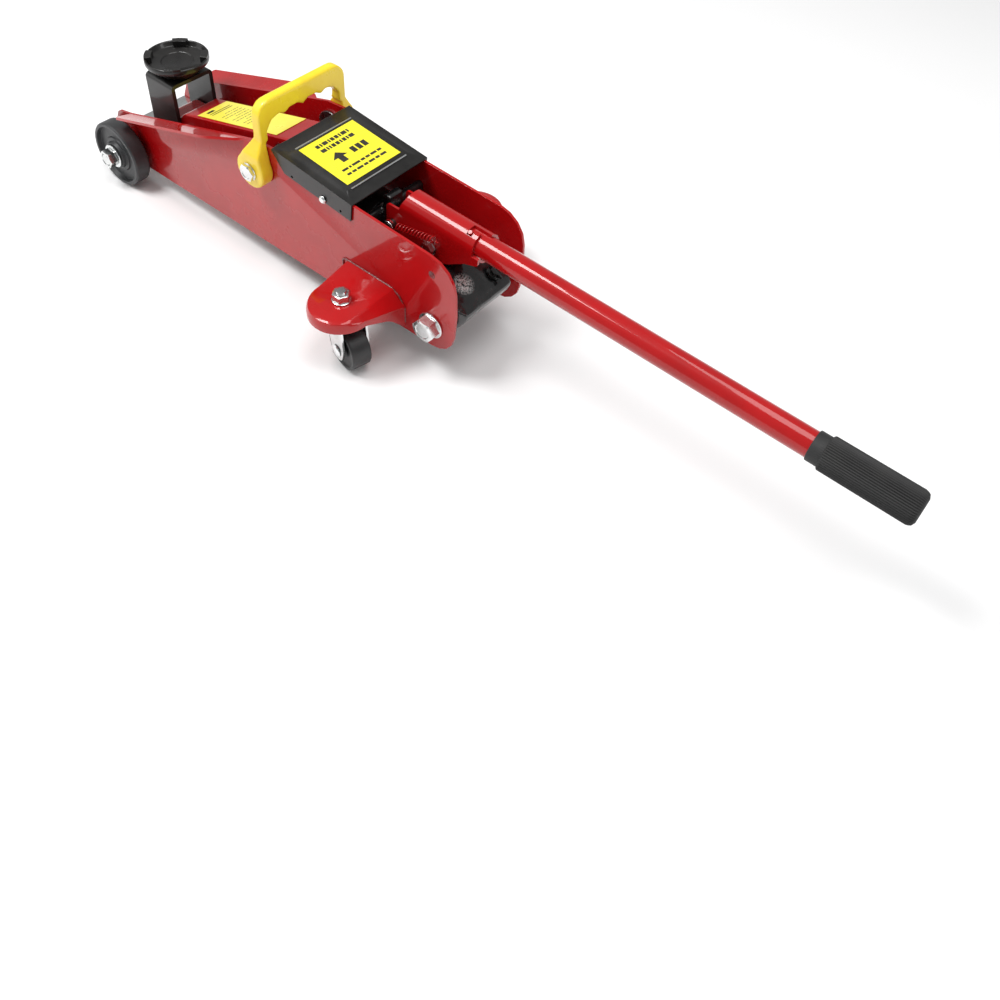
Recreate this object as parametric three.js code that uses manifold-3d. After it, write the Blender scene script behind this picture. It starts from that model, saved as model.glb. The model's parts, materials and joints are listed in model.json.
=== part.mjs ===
// Hydraulic floor jack with a removable pump handle, in millimetres.
// +X runs from the saddle to the pump handle, +Y to the right side plate, +Z up; the floor is z = 0.
import * as THREE from "three";
import { mergeVertices } from "three/addons/utils/BufferGeometryUtils.js";
import Module from "manifold-3d";

const wasm = await Module();
wasm.setup();

// ---------- Driving dimensions ----------

// Clearances
const GAP = 0.3; // between faces that touch on the real jack
const RUNNING = 0.3; // radial play of a pin in its hole

// Side plates
const FRAME_HALF_WIDTH = 44.4; // centre line to the outer face of a side plate
const PLATE = 2.5;
const LIP_WIDTH = 18;
const LIP_TILT = THREE.MathUtils.degToRad(15);
const NOSE_X = -237;
const TAIL_X = 226;

// Front wheels
const WHEEL_RADIUS = 34.3;
const WHEEL_WIDTH = 17;
const WHEEL_STANDOFF = 5.2; // side plate to the inner face of the tyre
const AXLE_X = -209.7;
const AXLE_RADIUS = 6;

// Lift arm, saddle and levelling links
const PIVOT_X = -2.5;
const PIVOT_Z = 113.5;
const ARM_REACH_X = 173.5; // arm pivot to saddle bracket pivot, along X
const ARM_REACH_Z = 51.5; // and down, with the arm lowered
const ARM_HALF_WIDTH = 20;
const ARM_WALL = 3;
const ARM_SLOPE = 0.28; // rise of the arm's top face towards the rear
const ARM_TOP_OVER_PIVOT = 16.1;
const SHAFT_RADIUS = 8;
const BRACKET_LENGTH = 40.5;
const BRACKET_WALL = 4;
const BRACKET_TOP = 118;
const SADDLE_RADIUS = 30.8;
const SADDLE_TOP = 135;
const LINK_OFFSET = 22; // distance between the arm's line and the link's line at mid lift
const LINK_TILT = THREE.MathUtils.degToRad(14.6);

// Hydraulic unit
const RAM_Z = 77.5;
const RAM_RADIUS = 10;
const TANK_RADIUS = 29;
const TANK_FRONT_X = 40;
const TANK_REAR_X = 103.6;
const CRANK_X = 21; // arm pivot to crank pin, along X
const CRANK_Z = 36; // and down
const UNIT_BOLT_X = 200;
const UNIT_BOLT_Z = 51.5;

// Cover
const COVER_SHEET = 1.5;
const COVER_FRONT_X = 17.1;
const COVER_FRONT_Z = 141.2;
const COVER_REAR_X = 112.8;
const COVER_REAR_Z = 130.8;

// Yoke and pump handle
const YOKE_X = 170;
const YOKE_Z = 99.5;
const YOKE_REST_TILT = THREE.MathUtils.degToRad(1.5); // handle's droop towards the rear at rest
const TUBE_RADIUS = 10.5;
const TUBE_WALL = 1.5;
const TUBE_OVER_PIVOT = 20.4;
const SOCKET_WALL = 2.2;
const SOCKET_FRONT = -35; // from the yoke's pivot, along the tube
const SOCKET_REAR = 50.5;
const HANDLE_FRONT = -20;
const HANDLE_REAR = 418;
const GRIP_LENGTH = 79;
const YOKE_PIN_REACH = 42.1; // yoke pivot to the front cross pin

// Casters
const CASTER_X = 135;
const CASTER_Y = 83.5;
const CASTER_RADIUS = 21;
const CASTER_WIDTH = 18.5;
const CASTER_TRAIL = 10;
const CASTER_SWIVEL = THREE.MathUtils.degToRad(14); // how far the parked casters point outwards
const WING_TOP = 65.5;
const WING_RADIUS = 28.4;
const WING_SHEET = 3;

// Carry handle
const CARRY_TOP = 182;
const CARRY_EYE_THICKNESS = 12.8;
const CARRY_DEPTH = 10;
const CARRY_LEG = 8;
const CARRY_LEG_X = 4.5; // middle of the legs
const CARRY_HALF_WIDTH = 50;

// ---------- Sizes that follow ----------

const PLATE_INNER = FRAME_HALF_WIDTH - PLATE;
const BETWEEN_PLATES = PLATE_INNER - GAP;
const BRACKET_PIVOT_X = PIVOT_X - ARM_REACH_X;
const BRACKET_PIVOT_Z = PIVOT_Z - ARM_REACH_Z;
const LINK_DX = -LINK_OFFSET * Math.sin(LINK_TILT);
const LINK_DZ = -LINK_OFFSET * Math.cos(LINK_TILT);
const BRACKET_INNER = ARM_HALF_WIDTH + 0.4;
const BRACKET_OUTER = BRACKET_INNER + BRACKET_WALL;
const BRACKET_X = BRACKET_PIVOT_X + 2.5;
const SADDLE_X = BRACKET_X + 1.2;
const SOCKET_INNER = TUBE_RADIUS + RUNNING;
const SOCKET_OUTER = SOCKET_INNER + SOCKET_WALL;
const UNIT_EAR_HALF = SOCKET_INNER - 1.4;
const COVER_SLOPE = (COVER_REAR_Z - COVER_FRONT_Z) / (COVER_REAR_X - COVER_FRONT_X);
const COVER_ANGLE = Math.atan(-COVER_SLOPE);

// ---------- Materials ----------

function material(color, roughness, metalness) {
  return new THREE.MeshStandardMaterial({ color, roughness, metalness });
}
const redPaint = () => material(0xc4161c, 0.22, 0.1);
const blackPaint = () => material(0x1d1d1f, 0.45, 0.2);
const castIron = () => material(0x17181a, 0.6, 0.3);
const zinc = () => material(0xc9ced2, 0.3, 0.9);
const darkSteel = () => material(0x55585c, 0.4, 0.8);
const chrome = () => material(0xe6e8ea, 0.1, 1.0);
const wheelPlastic = () => material(0x2b2c2e, 0.6, 0.0);
const yellowPlastic = () => material(0xe6c81e, 0.35, 0.0);
const rubber = () => material(0x1a1a1c, 0.8, 0.0);
const sticker = (color) => material(color, 0.35, 0.0);

// ---------- Solids ----------

// A closed three.js geometry as a manifold-3d solid, facing outwards.
function solid(geometry) {
  const bare = new THREE.BufferGeometry();
  bare.setAttribute("position", geometry.getAttribute("position"));
  bare.setIndex(geometry.index);
  const merged = mergeVertices(bare, 1e-4);
  const at = merged.attributes.position.array;
  const index = merged.index.array;
  const corner = (i) => new THREE.Vector3().fromArray(at, 3 * i);
  const faces = [];
  let volume = 0;
  for (let i = 0; i < index.length; i += 3) {
    const [a, b, c] = [index[i], index[i + 1], index[i + 2]];
    if (a === b || b === c || a === c) continue;
    faces.push(a, b, c);
    volume += corner(a).dot(corner(b).cross(corner(c)));
  }
  if (volume < 0) faces.reverse();
  return new wasm.Manifold(
    new wasm.Mesh({ numProp: 3, vertProperties: at, triVerts: new Uint32Array(faces) }),
  );
}

// The other way: a solid as a flat-shaded geometry.
function geometryOf(body) {
  const mesh = body.getMesh();
  const geometry = new THREE.BufferGeometry();
  geometry.setAttribute("position", new THREE.BufferAttribute(new Float32Array(mesh.vertProperties), 3));
  geometry.setIndex(new THREE.BufferAttribute(new Uint32Array(mesh.triVerts), 1));
  const flat = geometry.toNonIndexed();
  flat.computeVertexNormals();
  return flat;
}

const joined = (first, ...rest) => rest.reduce((sum, body) => sum.add(body), first);
const without = (first, ...rest) => rest.reduce((left, body) => left.subtract(body), first);
const mirrored = (body) => body.mirror([0, 1, 0]);

// A closed outline through [x, y, fillet radius] corners.
function outline(corners) {
  const shape = new THREE.Shape();
  corners.forEach(([x, y, radius = 0], i) => {
    const before = corners[(i + corners.length - 1) % corners.length];
    const after = corners[(i + 1) % corners.length];
    const back = new THREE.Vector2(before[0] - x, before[1] - y).normalize();
    const ahead = new THREE.Vector2(after[0] - x, after[1] - y).normalize();
    const half = Math.acos(THREE.MathUtils.clamp(back.dot(ahead), -1, 1)) / 2;
    const reach = radius / Math.tan(half);
    const start = new THREE.Vector2(x, y).addScaledVector(back, reach);
    if (i === 0) shape.moveTo(start.x, start.y);
    else shape.lineTo(start.x, start.y);
    if (radius > 0) {
      const middle = back.clone().add(ahead).normalize();
      const centre = new THREE.Vector2(x, y).addScaledVector(middle, radius / Math.sin(half));
      const end = new THREE.Vector2(x, y).addScaledVector(ahead, reach);
      const from = start.sub(centre).angle();
      const to = end.sub(centre).angle();
      shape.absarc(centre.x, centre.y, radius, from, to, back.cross(ahead) > 0);
    }
  });
  shape.closePath();
  return shape;
}

// A shape drawn in X and Z, with thickness along Y from y0 to y1.
function across(shape, y0, y1, curveSegments = 2) {
  const geometry = new THREE.ExtrudeGeometry(shape, { depth: y1 - y0, bevelEnabled: false, curveSegments });
  return solid(geometry.rotateX(Math.PI / 2).translate(0, y1, 0));
}

// A shape drawn in X and Y, with thickness along Z from z0 to z1.
function upright(shape, z0, z1, curveSegments = 2) {
  const geometry = new THREE.ExtrudeGeometry(shape, { depth: z1 - z0, bevelEnabled: false, curveSegments });
  return solid(geometry.translate(0, 0, z0));
}

// A shape drawn in Y and Z, with thickness along X from x0 to x1.
function along(shape, x0, x1, curveSegments = 2) {
  const geometry = new THREE.ExtrudeGeometry(shape, { depth: x1 - x0, bevelEnabled: false, curveSegments });
  const axes = new THREE.Matrix4().makeBasis(
    new THREE.Vector3(0, 1, 0),
    new THREE.Vector3(0, 0, 1),
    new THREE.Vector3(1, 0, 0),
  );
  return solid(geometry.applyMatrix4(axes).translate(x0, 0, 0));
}

function box(x0, x1, y0, y1, z0, z1) {
  const geometry = new THREE.BoxGeometry(x1 - x0, y1 - y0, z1 - z0);
  return solid(geometry.translate((x0 + x1) / 2, (y0 + y1) / 2, (z0 + z1) / 2));
}

const TURNS = {
  x: (geometry) => geometry.rotateZ(-Math.PI / 2),
  y: (geometry) => geometry,
  z: (geometry) => geometry.rotateX(Math.PI / 2),
};

// A turned piece: [radius, height] points about an axis through the given place.
function turned(axis, points, place, segments = 28) {
  const profile = points.map(([radius, height]) => new THREE.Vector2(radius, height));
  const geometry = TURNS[axis](new THREE.LatheGeometry(profile, segments));
  return solid(geometry.translate(...place));
}

function rod(axis, radius, from, to, place, segments = 16) {
  return turned(axis, [[0, from], [radius, from], [radius, to], [0, to]], place, segments);
}

function tube(axis, inner, outer, from, to, place, segments = 24) {
  const ring = [[inner, from], [outer, from], [outer, to], [inner, to], [inner, from]];
  return turned(axis, ring, place, segments);
}

// A hexagon across flats, from one height to another along an axis.
function hexagon(axis, flats, from, to, place, turn = 0) {
  const radius = flats / Math.sqrt(3);
  const geometry = new THREE.CylinderGeometry(radius, radius, to - from, 6);
  geometry.rotateY(turn).translate(0, (from + to) / 2, 0);
  return solid(TURNS[axis](geometry).translate(...place));
}

// A bolt along Y at the left side: head outside y = seat, shank inwards, and a washer face under the head.
function sideBolt(x, z, seat, head, shank) {
  const at = [x, seat, z];
  return joined(
    hexagon("y", head.flats, -head.washer - head.height, -head.washer + 0.5, at, head.turn),
    rod("y", head.flange, -head.washer, 0, at, 24),
    rod("y", shank.radius, -head.washer / 2, shank.length, at, 16),
  );
}

// ---------- Assembly ----------

const jack = new THREE.Group();
const swinging = new THREE.Group(); // yoke and pump handle, about the yoke's pivot
swinging.position.set(YOKE_X, 0, YOKE_Z);
swinging.rotation.y = YOKE_REST_TILT;
jack.add(swinging);

function add(name, body, look, parent = jack) {
  const mesh = new THREE.Mesh(geometryOf(body), look);
  mesh.name = name;
  parent.add(mesh);
}

// The same piece on both sides; it is made for the left one, at -Y.
function addPair(name, body, look, parent = jack) {
  add(`${name}_left`, body, look(), parent);
  add(`${name}_right`, mirrored(body), look(), parent);
}

// ---------- Side plates ----------

const LIP_START_X = -203;
const LIP_END_X = -7;
const LIP_START_Z = 75.6;
const LIP_END_Z = 137.2;
const COVER_UNDER = COVER_SHEET + 2 * GAP;
const coverTopAt = (x) => COVER_FRONT_Z + COVER_SLOPE * (x - COVER_FRONT_X);

function plateOutline() {
  return outline([
    [-226, 17, 16],
    [NOSE_X, 42, 10],
    [NOSE_X + 13, 71, 8],
    [LIP_START_X, LIP_START_Z],
    [LIP_END_X, LIP_END_Z, 12],
    [COVER_FRONT_X, coverTopAt(COVER_FRONT_X) - COVER_UNDER, 8],
    [COVER_REAR_X, coverTopAt(COVER_REAR_X) - COVER_UNDER],
    [TAIL_X - 2, 124.5, 29],
    [TAIL_X, 75],
    [TAIL_X - 3, 28, 24],
  ]);
}

// The outward lip along the rising edge, level with the top of the plate.
function plateLip() {
  const run = Math.hypot(LIP_END_X - LIP_START_X, LIP_END_Z - LIP_START_Z);
  const shape = outline([
    [0, -PLATE + 0.2],
    [0, LIP_WIDTH, 4],
    [run * 0.72, LIP_WIDTH - 1, 40],
    [run * 0.88, 4.5, 12],
    [run * 0.93, -PLATE + 0.2],
  ]);
  const geometry = new THREE.ExtrudeGeometry(shape, { depth: PLATE, bevelEnabled: false, curveSegments: 3 });
  const forward = new THREE.Vector3(LIP_END_X - LIP_START_X, 0, LIP_END_Z - LIP_START_Z).normalize();
  const outward = new THREE.Vector3(0, -Math.cos(LIP_TILT), Math.sin(LIP_TILT));
  const down = forward.clone().cross(outward);
  geometry.applyMatrix4(new THREE.Matrix4().makeBasis(forward, outward, down));
  return solid(geometry.translate(LIP_START_X, -FRAME_HALF_WIDTH, LIP_START_Z));
}

const SCREW_X = 78.8;
const SCREW_Z = coverTopAt(SCREW_X) - 15;
const DIMPLE_X = 200;
const DIMPLE_Z = 107;

function sidePlate() {
  const web = across(plateOutline(), -FRAME_HALF_WIDTH, -PLATE_INNER);
  const hole = (radius, x, z) => rod("y", radius, -PLATE, PLATE, [x, -FRAME_HALF_WIDTH + PLATE / 2, z]);
  return without(
    joined(web, plateLip()),
    hole(AXLE_RADIUS + RUNNING, AXLE_X, WHEEL_RADIUS),
    hole(CARRY_BOLT_RADIUS + RUNNING, PIVOT_X, PIVOT_Z),
    hole(UNIT_BOLT_RADIUS + RUNNING, UNIT_BOLT_X, UNIT_BOLT_Z),
    hole(SCREW_RADIUS + RUNNING, SCREW_X, SCREW_Z),
    rod("y", 3, -1, 1, [DIMPLE_X, -FRAME_HALF_WIDTH, DIMPLE_Z], 12),
  );
}

const CARRY_BOLT_RADIUS = 5;
const UNIT_BOLT_RADIUS = 6;
const SCREW_RADIUS = 2;
addPair("side_plate", sidePlate(), redPaint);

// The plate that ties the side plates together at the nose.
const CROSS_PLATE_Z = 43.5;
function crossPlate() {
  const half = BETWEEN_PLATES;
  const flat = box(NOSE_X + 1, NOSE_X + 34, -half, half, CROSS_PLATE_Z - PLATE, CROSS_PLATE_Z);
  const apron = box(NOSE_X + 1, NOSE_X + 1 + PLATE, -half, half, CROSS_PLATE_Z - 14, CROSS_PLATE_Z);
  return joined(flat, apron);
}
add("front_cross_plate", crossPlate(), zinc());

// ---------- Front axle and wheels ----------

const TYRE_INNER = FRAME_HALF_WIDTH + WHEEL_STANDOFF;
const TYRE_OUTER = TYRE_INNER + WHEEL_WIDTH;
const HUB_OUTER = TYRE_OUTER + 0.8;
const WASHER = 2;
const NUT_HEIGHT = 8.4;
const NUT_INNER = HUB_OUTER + 2 * GAP + WASHER;
const AXLE_END = NUT_INNER + NUT_HEIGHT - 0.4;
const axleAt = [AXLE_X, 0, WHEEL_RADIUS];

function frontWheel() {
  const r = WHEEL_RADIUS;
  const bore = AXLE_RADIUS + RUNNING;
  const profile = [
    [bore, -FRAME_HALF_WIDTH - GAP],
    [12, -FRAME_HALF_WIDTH - GAP],
    [13, -TYRE_INNER - 3],
    [r - 8, -TYRE_INNER - 3],
    [r - 6, -TYRE_INNER],
    [r - 2, -TYRE_INNER],
    [r, -TYRE_INNER - 2],
    [r, -TYRE_OUTER + 1.5],
    [r - 1.2, -TYRE_OUTER],
    [r - 4, -TYRE_OUTER],
    [r - 5.2, -TYRE_OUTER + 4.5],
    [18.5, -TYRE_OUTER + 4.5],
    [17.8, -TYRE_OUTER + 2.6],
    [14.6, -TYRE_OUTER + 2.6],
    [13.6, -HUB_OUTER],
    [bore, -HUB_OUTER],
    [bore, -FRAME_HALF_WIDTH - GAP],
  ];
  return turned("y", profile, axleAt, 32);
}

add("front_axle", rod("y", AXLE_RADIUS, -AXLE_END, AXLE_END, axleAt), zinc());
addPair("front_wheel", frontWheel(), wheelPlastic);
const washerInner = -HUB_OUTER - GAP;
addPair(
  "axle_washer",
  tube("y", AXLE_RADIUS + RUNNING, 12.3, washerInner - WASHER, washerInner, axleAt),
  zinc,
);
addPair(
  "axle_nut",
  without(
    hexagon("y", 17, -NUT_INNER - NUT_HEIGHT, -NUT_INNER, axleAt, 0.2),
    rod("y", AXLE_RADIUS + RUNNING, -NUT_INNER - 20, -NUT_INNER + 5, axleAt),
  ),
  zinc,
);

// ---------- Lift arm ----------

const ARM_NOSE_RADIUS = 12;
const CRANK_PIN_RADIUS = 5;
const BRACKET_PIN_RADIUS = 5;
const crankAt = [PIVOT_X + CRANK_X, 0, PIVOT_Z - CRANK_Z];
const shaftAt = [PIVOT_X, 0, PIVOT_Z];
const bracketPinAt = [BRACKET_PIVOT_X, 0, BRACKET_PIVOT_Z];
const armTopAt = (x) => PIVOT_Z + ARM_TOP_OVER_PIVOT + ARM_SLOPE * (x - PIVOT_X);

function armOutline() {
  const nose = BRACKET_PIVOT_X;
  const shoulder = nose + 30;
  return outline([
    [nose, BRACKET_PIVOT_Z + ARM_NOSE_RADIUS],
    [nose + 14, BRACKET_PIVOT_Z + 13, 6],
    [shoulder, armTopAt(shoulder), 12],
    [PIVOT_X + 20, armTopAt(PIVOT_X + 20), 5],
    [PIVOT_X + 29, PIVOT_Z + 14, 5],
    [PIVOT_X + CRANK_X + 12, PIVOT_Z - CRANK_Z + 4, 10],
    [PIVOT_X + CRANK_X - 2, PIVOT_Z - CRANK_Z - 13.5, 10],
    [PIVOT_X + CRANK_X - 17, PIVOT_Z - CRANK_Z - 8, 8],
    [PIVOT_X - 26, PIVOT_Z - 28, 20],
    [nose + 26, BRACKET_PIVOT_Z - 5, 8],
    [nose + 4, BRACKET_PIVOT_Z - ARM_NOSE_RADIUS + 1.5],
  ]);
}

// The hollow between the arm's walls, open below and behind.
function armHollow() {
  const front = BRACKET_PIVOT_X + 8;
  const shoulder = BRACKET_PIVOT_X + 33;
  const wall = ARM_WALL * Math.hypot(1, ARM_SLOPE);
  return outline([
    [front, 0],
    [front, BRACKET_PIVOT_Z + 9],
    [front + 8, BRACKET_PIVOT_Z + 9],
    [shoulder, armTopAt(shoulder) - wall],
    [PIVOT_X + 60, armTopAt(PIVOT_X + 60) - wall],
    [PIVOT_X + 60, 0],
  ]);
}

function liftArm() {
  const half = ARM_HALF_WIDTH;
  const inner = half - ARM_WALL;
  const nose = rod("y", ARM_NOSE_RADIUS, -half, half, bracketPinAt, 24);
  const body = without(
    joined(across(armOutline(), -half, half), nose),
    across(armHollow(), -inner, inner),
    rod("y", BRACKET_PIN_RADIUS + RUNNING, -half - 1, half + 1, bracketPinAt),
    rod("y", CRANK_PIN_RADIUS + RUNNING, -half - 1, half + 1, crankAt),
    rod("y", SHAFT_RADIUS + RUNNING, -half - 1, half + 1, shaftAt, 24),
  );
  return body;
}
add("lift_arm", liftArm(), redPaint());

// A flat sticker on a face that slopes along X: start and end along X, half width, and the face's height.
function label(x0, x1, half, heightAt, thickness) {
  const lift = GAP;
  const shape = outline([
    [x0, heightAt(x0) + lift],
    [x0, heightAt(x0) + lift + thickness],
    [x1, heightAt(x1) + lift + thickness],
    [x1, heightAt(x1) + lift],
  ]);
  return across(shape, -half, half);
}
const LABEL_THICKNESS = 0.3;
add(
  "arm_label",
  label(BRACKET_PIVOT_X + 49, PIVOT_X - 7.5, ARM_HALF_WIDTH - 2.2, armTopAt, LABEL_THICKNESS),
  sticker(0xf2ea7a),
);

const crankHalf = ARM_HALF_WIDTH + 1.5;
add("crank_pin", rod("y", CRANK_PIN_RADIUS, -crankHalf, crankHalf, crankAt), darkSteel());

// The pivot shaft between the plates, with a collar at each end, tapped for the carry bolts.
function armShaft() {
  const tapped = CARRY_BOLT_RADIUS + RUNNING;
  const depth = BETWEEN_PLATES - 17;
  const collar = rod("y", 14.6, -BETWEEN_PLATES, -BETWEEN_PLATES + 2.5, shaftAt, 24);
  return without(
    joined(rod("y", SHAFT_RADIUS, -BETWEEN_PLATES, BETWEEN_PLATES, shaftAt, 24), collar, mirrored(collar)),
    rod("y", tapped, -BETWEEN_PLATES - 1, -depth, shaftAt),
    rod("y", tapped, depth, BETWEEN_PLATES + 1, shaftAt),
  );
}
add("arm_shaft", armShaft(), darkSteel());

// ---------- Saddle bracket, saddle and levelling links ----------

const STEM_RADIUS = 7;
const LINK_PIN_RADIUS = 4;
const frontLinkAt = [BRACKET_PIVOT_X + LINK_DX, 0, BRACKET_PIVOT_Z + LINK_DZ];
const rearLinkAt = [PIVOT_X + LINK_DX, 0, PIVOT_Z + LINK_DZ];
const saddleAt = [SADDLE_X, 0, 0];

function saddleBracket() {
  const front = BRACKET_X - BRACKET_LENGTH / 2;
  const rear = BRACKET_X + BRACKET_LENGTH / 2;
  const foot = frontLinkAt[2] - 9;
  const side = outline([
    [front, BRACKET_TOP],
    [rear, BRACKET_TOP],
    [rear + 1, 70, 10],
    [frontLinkAt[0] + 10, foot, 9],
    [frontLinkAt[0] - 9, foot, 8],
    [front, BRACKET_PIVOT_Z, 10],
  ]);
  const section = outline([
    [-BRACKET_OUTER, 0],
    [-BRACKET_OUTER, BRACKET_TOP, 4.5],
    [BRACKET_OUTER, BRACKET_TOP, 4.5],
    [BRACKET_OUTER, 0],
    [BRACKET_INNER, 0],
    [BRACKET_INNER, BRACKET_TOP - BRACKET_WALL, 1],
    [-BRACKET_INNER, BRACKET_TOP - BRACKET_WALL, 1],
    [-BRACKET_INNER, 0],
  ]);
  const blank = across(side, -BRACKET_OUTER, BRACKET_OUTER).intersect(along(section, front - 5, rear + 5, 3));
  return without(
    blank,
    rod("y", BRACKET_PIN_RADIUS + RUNNING, -BRACKET_OUTER - 1, BRACKET_OUTER + 1, bracketPinAt),
    rod("y", LINK_PIN_RADIUS + RUNNING, -BRACKET_OUTER - 1, BRACKET_OUTER + 1, frontLinkAt),
    rod("z", STEM_RADIUS + RUNNING, BRACKET_TOP - 10, BRACKET_TOP + 1, saddleAt),
  );
}
add("saddle_bracket", saddleBracket(), blackPaint());

const LINK_SIDE = BRACKET_OUTER + 0.8;
const LINK_THICKNESS = 3;
const pinHalf = BRACKET_OUTER + 2;
add("bracket_pin", rod("y", BRACKET_PIN_RADIUS, -pinHalf, pinHalf, bracketPinAt), darkSteel());
const linkPinHalf = LINK_SIDE + LINK_THICKNESS + 1.6;
add("link_pin_front", rod("y", LINK_PIN_RADIUS, -linkPinHalf, linkPinHalf, frontLinkAt), darkSteel());

function levelLink() {
  const [x0, , z0] = frontLinkAt;
  const [x1, , z1] = rearLinkAt;
  const run = Math.hypot(x1 - x0, z1 - z0);
  const lift = (5 * run) / (x1 - x0);
  const bar = outline([
    [x0, z0 - lift],
    [x1, z1 - lift],
    [x1, z1 + lift],
    [x0, z0 + lift],
  ]);
  const [near, far] = [-LINK_SIDE - LINK_THICKNESS, -LINK_SIDE];
  const eye = (place) => rod("y", 7, near, far, place, 24);
  const hole = (place) => rod("y", LINK_PIN_RADIUS + RUNNING, near - 1, far + 1, place);
  return without(
    joined(across(bar, near, far), eye(frontLinkAt), eye(rearLinkAt)),
    hole(frontLinkAt),
    hole(rearLinkAt),
  );
}
addPair("level_link", levelLink(), darkSteel);

// A shouldered pin on the inside of each side plate holds the rear end of the link.
function rearLinkPin() {
  const shoulder = -LINK_SIDE - LINK_THICKNESS - 2 * GAP;
  return joined(
    rod("y", LINK_PIN_RADIUS, shoulder - 1, -LINK_SIDE + 1, rearLinkAt),
    rod("y", 7, -BETWEEN_PLATES, shoulder, rearLinkAt, 24),
  );
}
addPair("link_pin_rear", rearLinkPin(), darkSteel);

// The saddle: a dished cup with a rim, four lugs and a conical underside over its stem.
function saddle() {
  const r = SADDLE_RADIUS;
  const top = SADDLE_TOP;
  const bottom = BRACKET_TOP + 0.6;
  const socket = STEM_RADIUS + RUNNING;
  const cup = turned(
    "z",
    [
      [socket, bottom],
      [19, bottom],
      [20.5, bottom + 1.5],
      [r - 2, top - 7],
      [r, top - 5],
      [r, top - 0.8],
      [r - 1.4, top],
      [r - 4.4, top - 0.4],
      [r - 6.4, top - 3],
      [14, top - 4],
      [13, top - 5.4],
      [0, top - 5.4],
      [0, top - 9],
      [socket, top - 9],
      [socket, bottom],
    ],
    saddleAt,
    36,
  );
  const lug = box(r - 9, r - 1.6, -8, 8, top - 3.6, top + 1.6);
  const lugs = [45, 135, 225, 315].map((turn) => lug.rotate([0, 0, turn]).translate(saddleAt));
  return joined(cup, ...lugs);
}
add("saddle", saddle(), blackPaint());
const stemTop = SADDLE_TOP - 9 - GAP;
const stemBottom = BRACKET_TOP - BRACKET_WALL - 9;
add("saddle_stem", rod("z", STEM_RADIUS, stemBottom, stemTop, saddleAt, 24), darkSteel());

// ---------- Carry handle ----------

const CARRY_INNER = FRAME_HALF_WIDTH + GAP;
const CARRY_OUTER = CARRY_INNER + CARRY_EYE_THICKNESS;
const CARRY_EYE_RADIUS = 17;
const CARRY_BAR = 19;
const CARRY_STEP_Z = 142; // where the legs step in over the side plates

// Seen along Y: the eye, and the leg standing on it.
function carrySide() {
  const front = CARRY_LEG_X - CARRY_DEPTH / 2;
  const rear = CARRY_LEG_X + CARRY_DEPTH / 2;
  return outline([
    [PIVOT_X - 15, PIVOT_Z + 7],
    [front, PIVOT_Z + 33, 18],
    [front, CARRY_TOP, 3],
    [rear, CARRY_TOP, 3],
    [rear, PIVOT_Z + 28, 18],
    [PIVOT_X + 15.5, PIVOT_Z + 6],
  ]);
}

// Seen along X: the bail with four finger hollows under its bar.
function carryFront() {
  const shape = new THREE.Shape();
  const half = CARRY_HALF_WIDTH;
  const inside = half - CARRY_LEG;
  const underside = CARRY_TOP - CARRY_BAR - 2;
  const floor = PIVOT_Z - 40;
  const corner = 15;
  const fingers = 4;
  const pitch = (2 * inside) / fingers;
  const right = [
    [half, CARRY_STEP_Z + 3],
    [CARRY_OUTER, CARRY_STEP_Z - 11],
    [CARRY_OUTER, floor],
    [CARRY_INNER, floor],
    [CARRY_INNER, CARRY_STEP_Z],
    [inside, CARRY_STEP_Z + 2],
  ];
  shape.moveTo(-half, CARRY_STEP_Z + 3);
  shape.lineTo(-half, CARRY_TOP - corner);
  shape.absarc(-half + corner, CARRY_TOP - corner, corner, Math.PI, Math.PI / 2, true);
  shape.absarc(half - corner, CARRY_TOP - corner, corner, Math.PI / 2, 0, true);
  right.forEach(([y, z]) => shape.lineTo(y, z));
  shape.lineTo(inside, underside - 8);
  for (let finger = 0; finger < fingers; finger += 1) {
    const from = inside - finger * pitch;
    const start = finger === 0 ? -8 : 0;
    const end = finger === fingers - 1 ? -8 : 0;
    shape.bezierCurveTo(
      from - 0.15 * pitch,
      underside + 5.5 + start / 4,
      from - 0.85 * pitch,
      underside + 5.5 + end / 4,
      from - pitch,
      underside + end,
    );
  }
  right.reverse().forEach(([y, z]) => shape.lineTo(-y, z));
  shape.closePath();
  return shape;
}

function carryHandle() {
  const silhouette = joined(
    across(carrySide(), -CARRY_OUTER, CARRY_OUTER, 3),
    rod("y", CARRY_EYE_RADIUS, -CARRY_OUTER, CARRY_OUTER, shaftAt, 32),
  );
  return without(
    silhouette.intersect(along(carryFront(), PIVOT_X - 40, PIVOT_X + 60, 3)),
    rod("y", CARRY_BOLT_RADIUS + RUNNING, -CARRY_OUTER - 1, CARRY_OUTER + 1, shaftAt),
  );
}
add("carry_handle", carryHandle(), yellowPlastic());
addPair(
  "carry_bolt",
  sideBolt(
    PIVOT_X,
    PIVOT_Z,
    -CARRY_OUTER - GAP,
    { flats: 15, height: 3.4, flange: 8.6, washer: 0.8, turn: 0.35 },
    { radius: CARRY_BOLT_RADIUS, length: CARRY_OUTER - BETWEEN_PLATES + 14 },
  ),
  zinc,
);

// ---------- Cover ----------

const COVER_INNER = FRAME_HALF_WIDTH + GAP;
const COVER_OUTER = COVER_INNER + COVER_SHEET;

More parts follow.
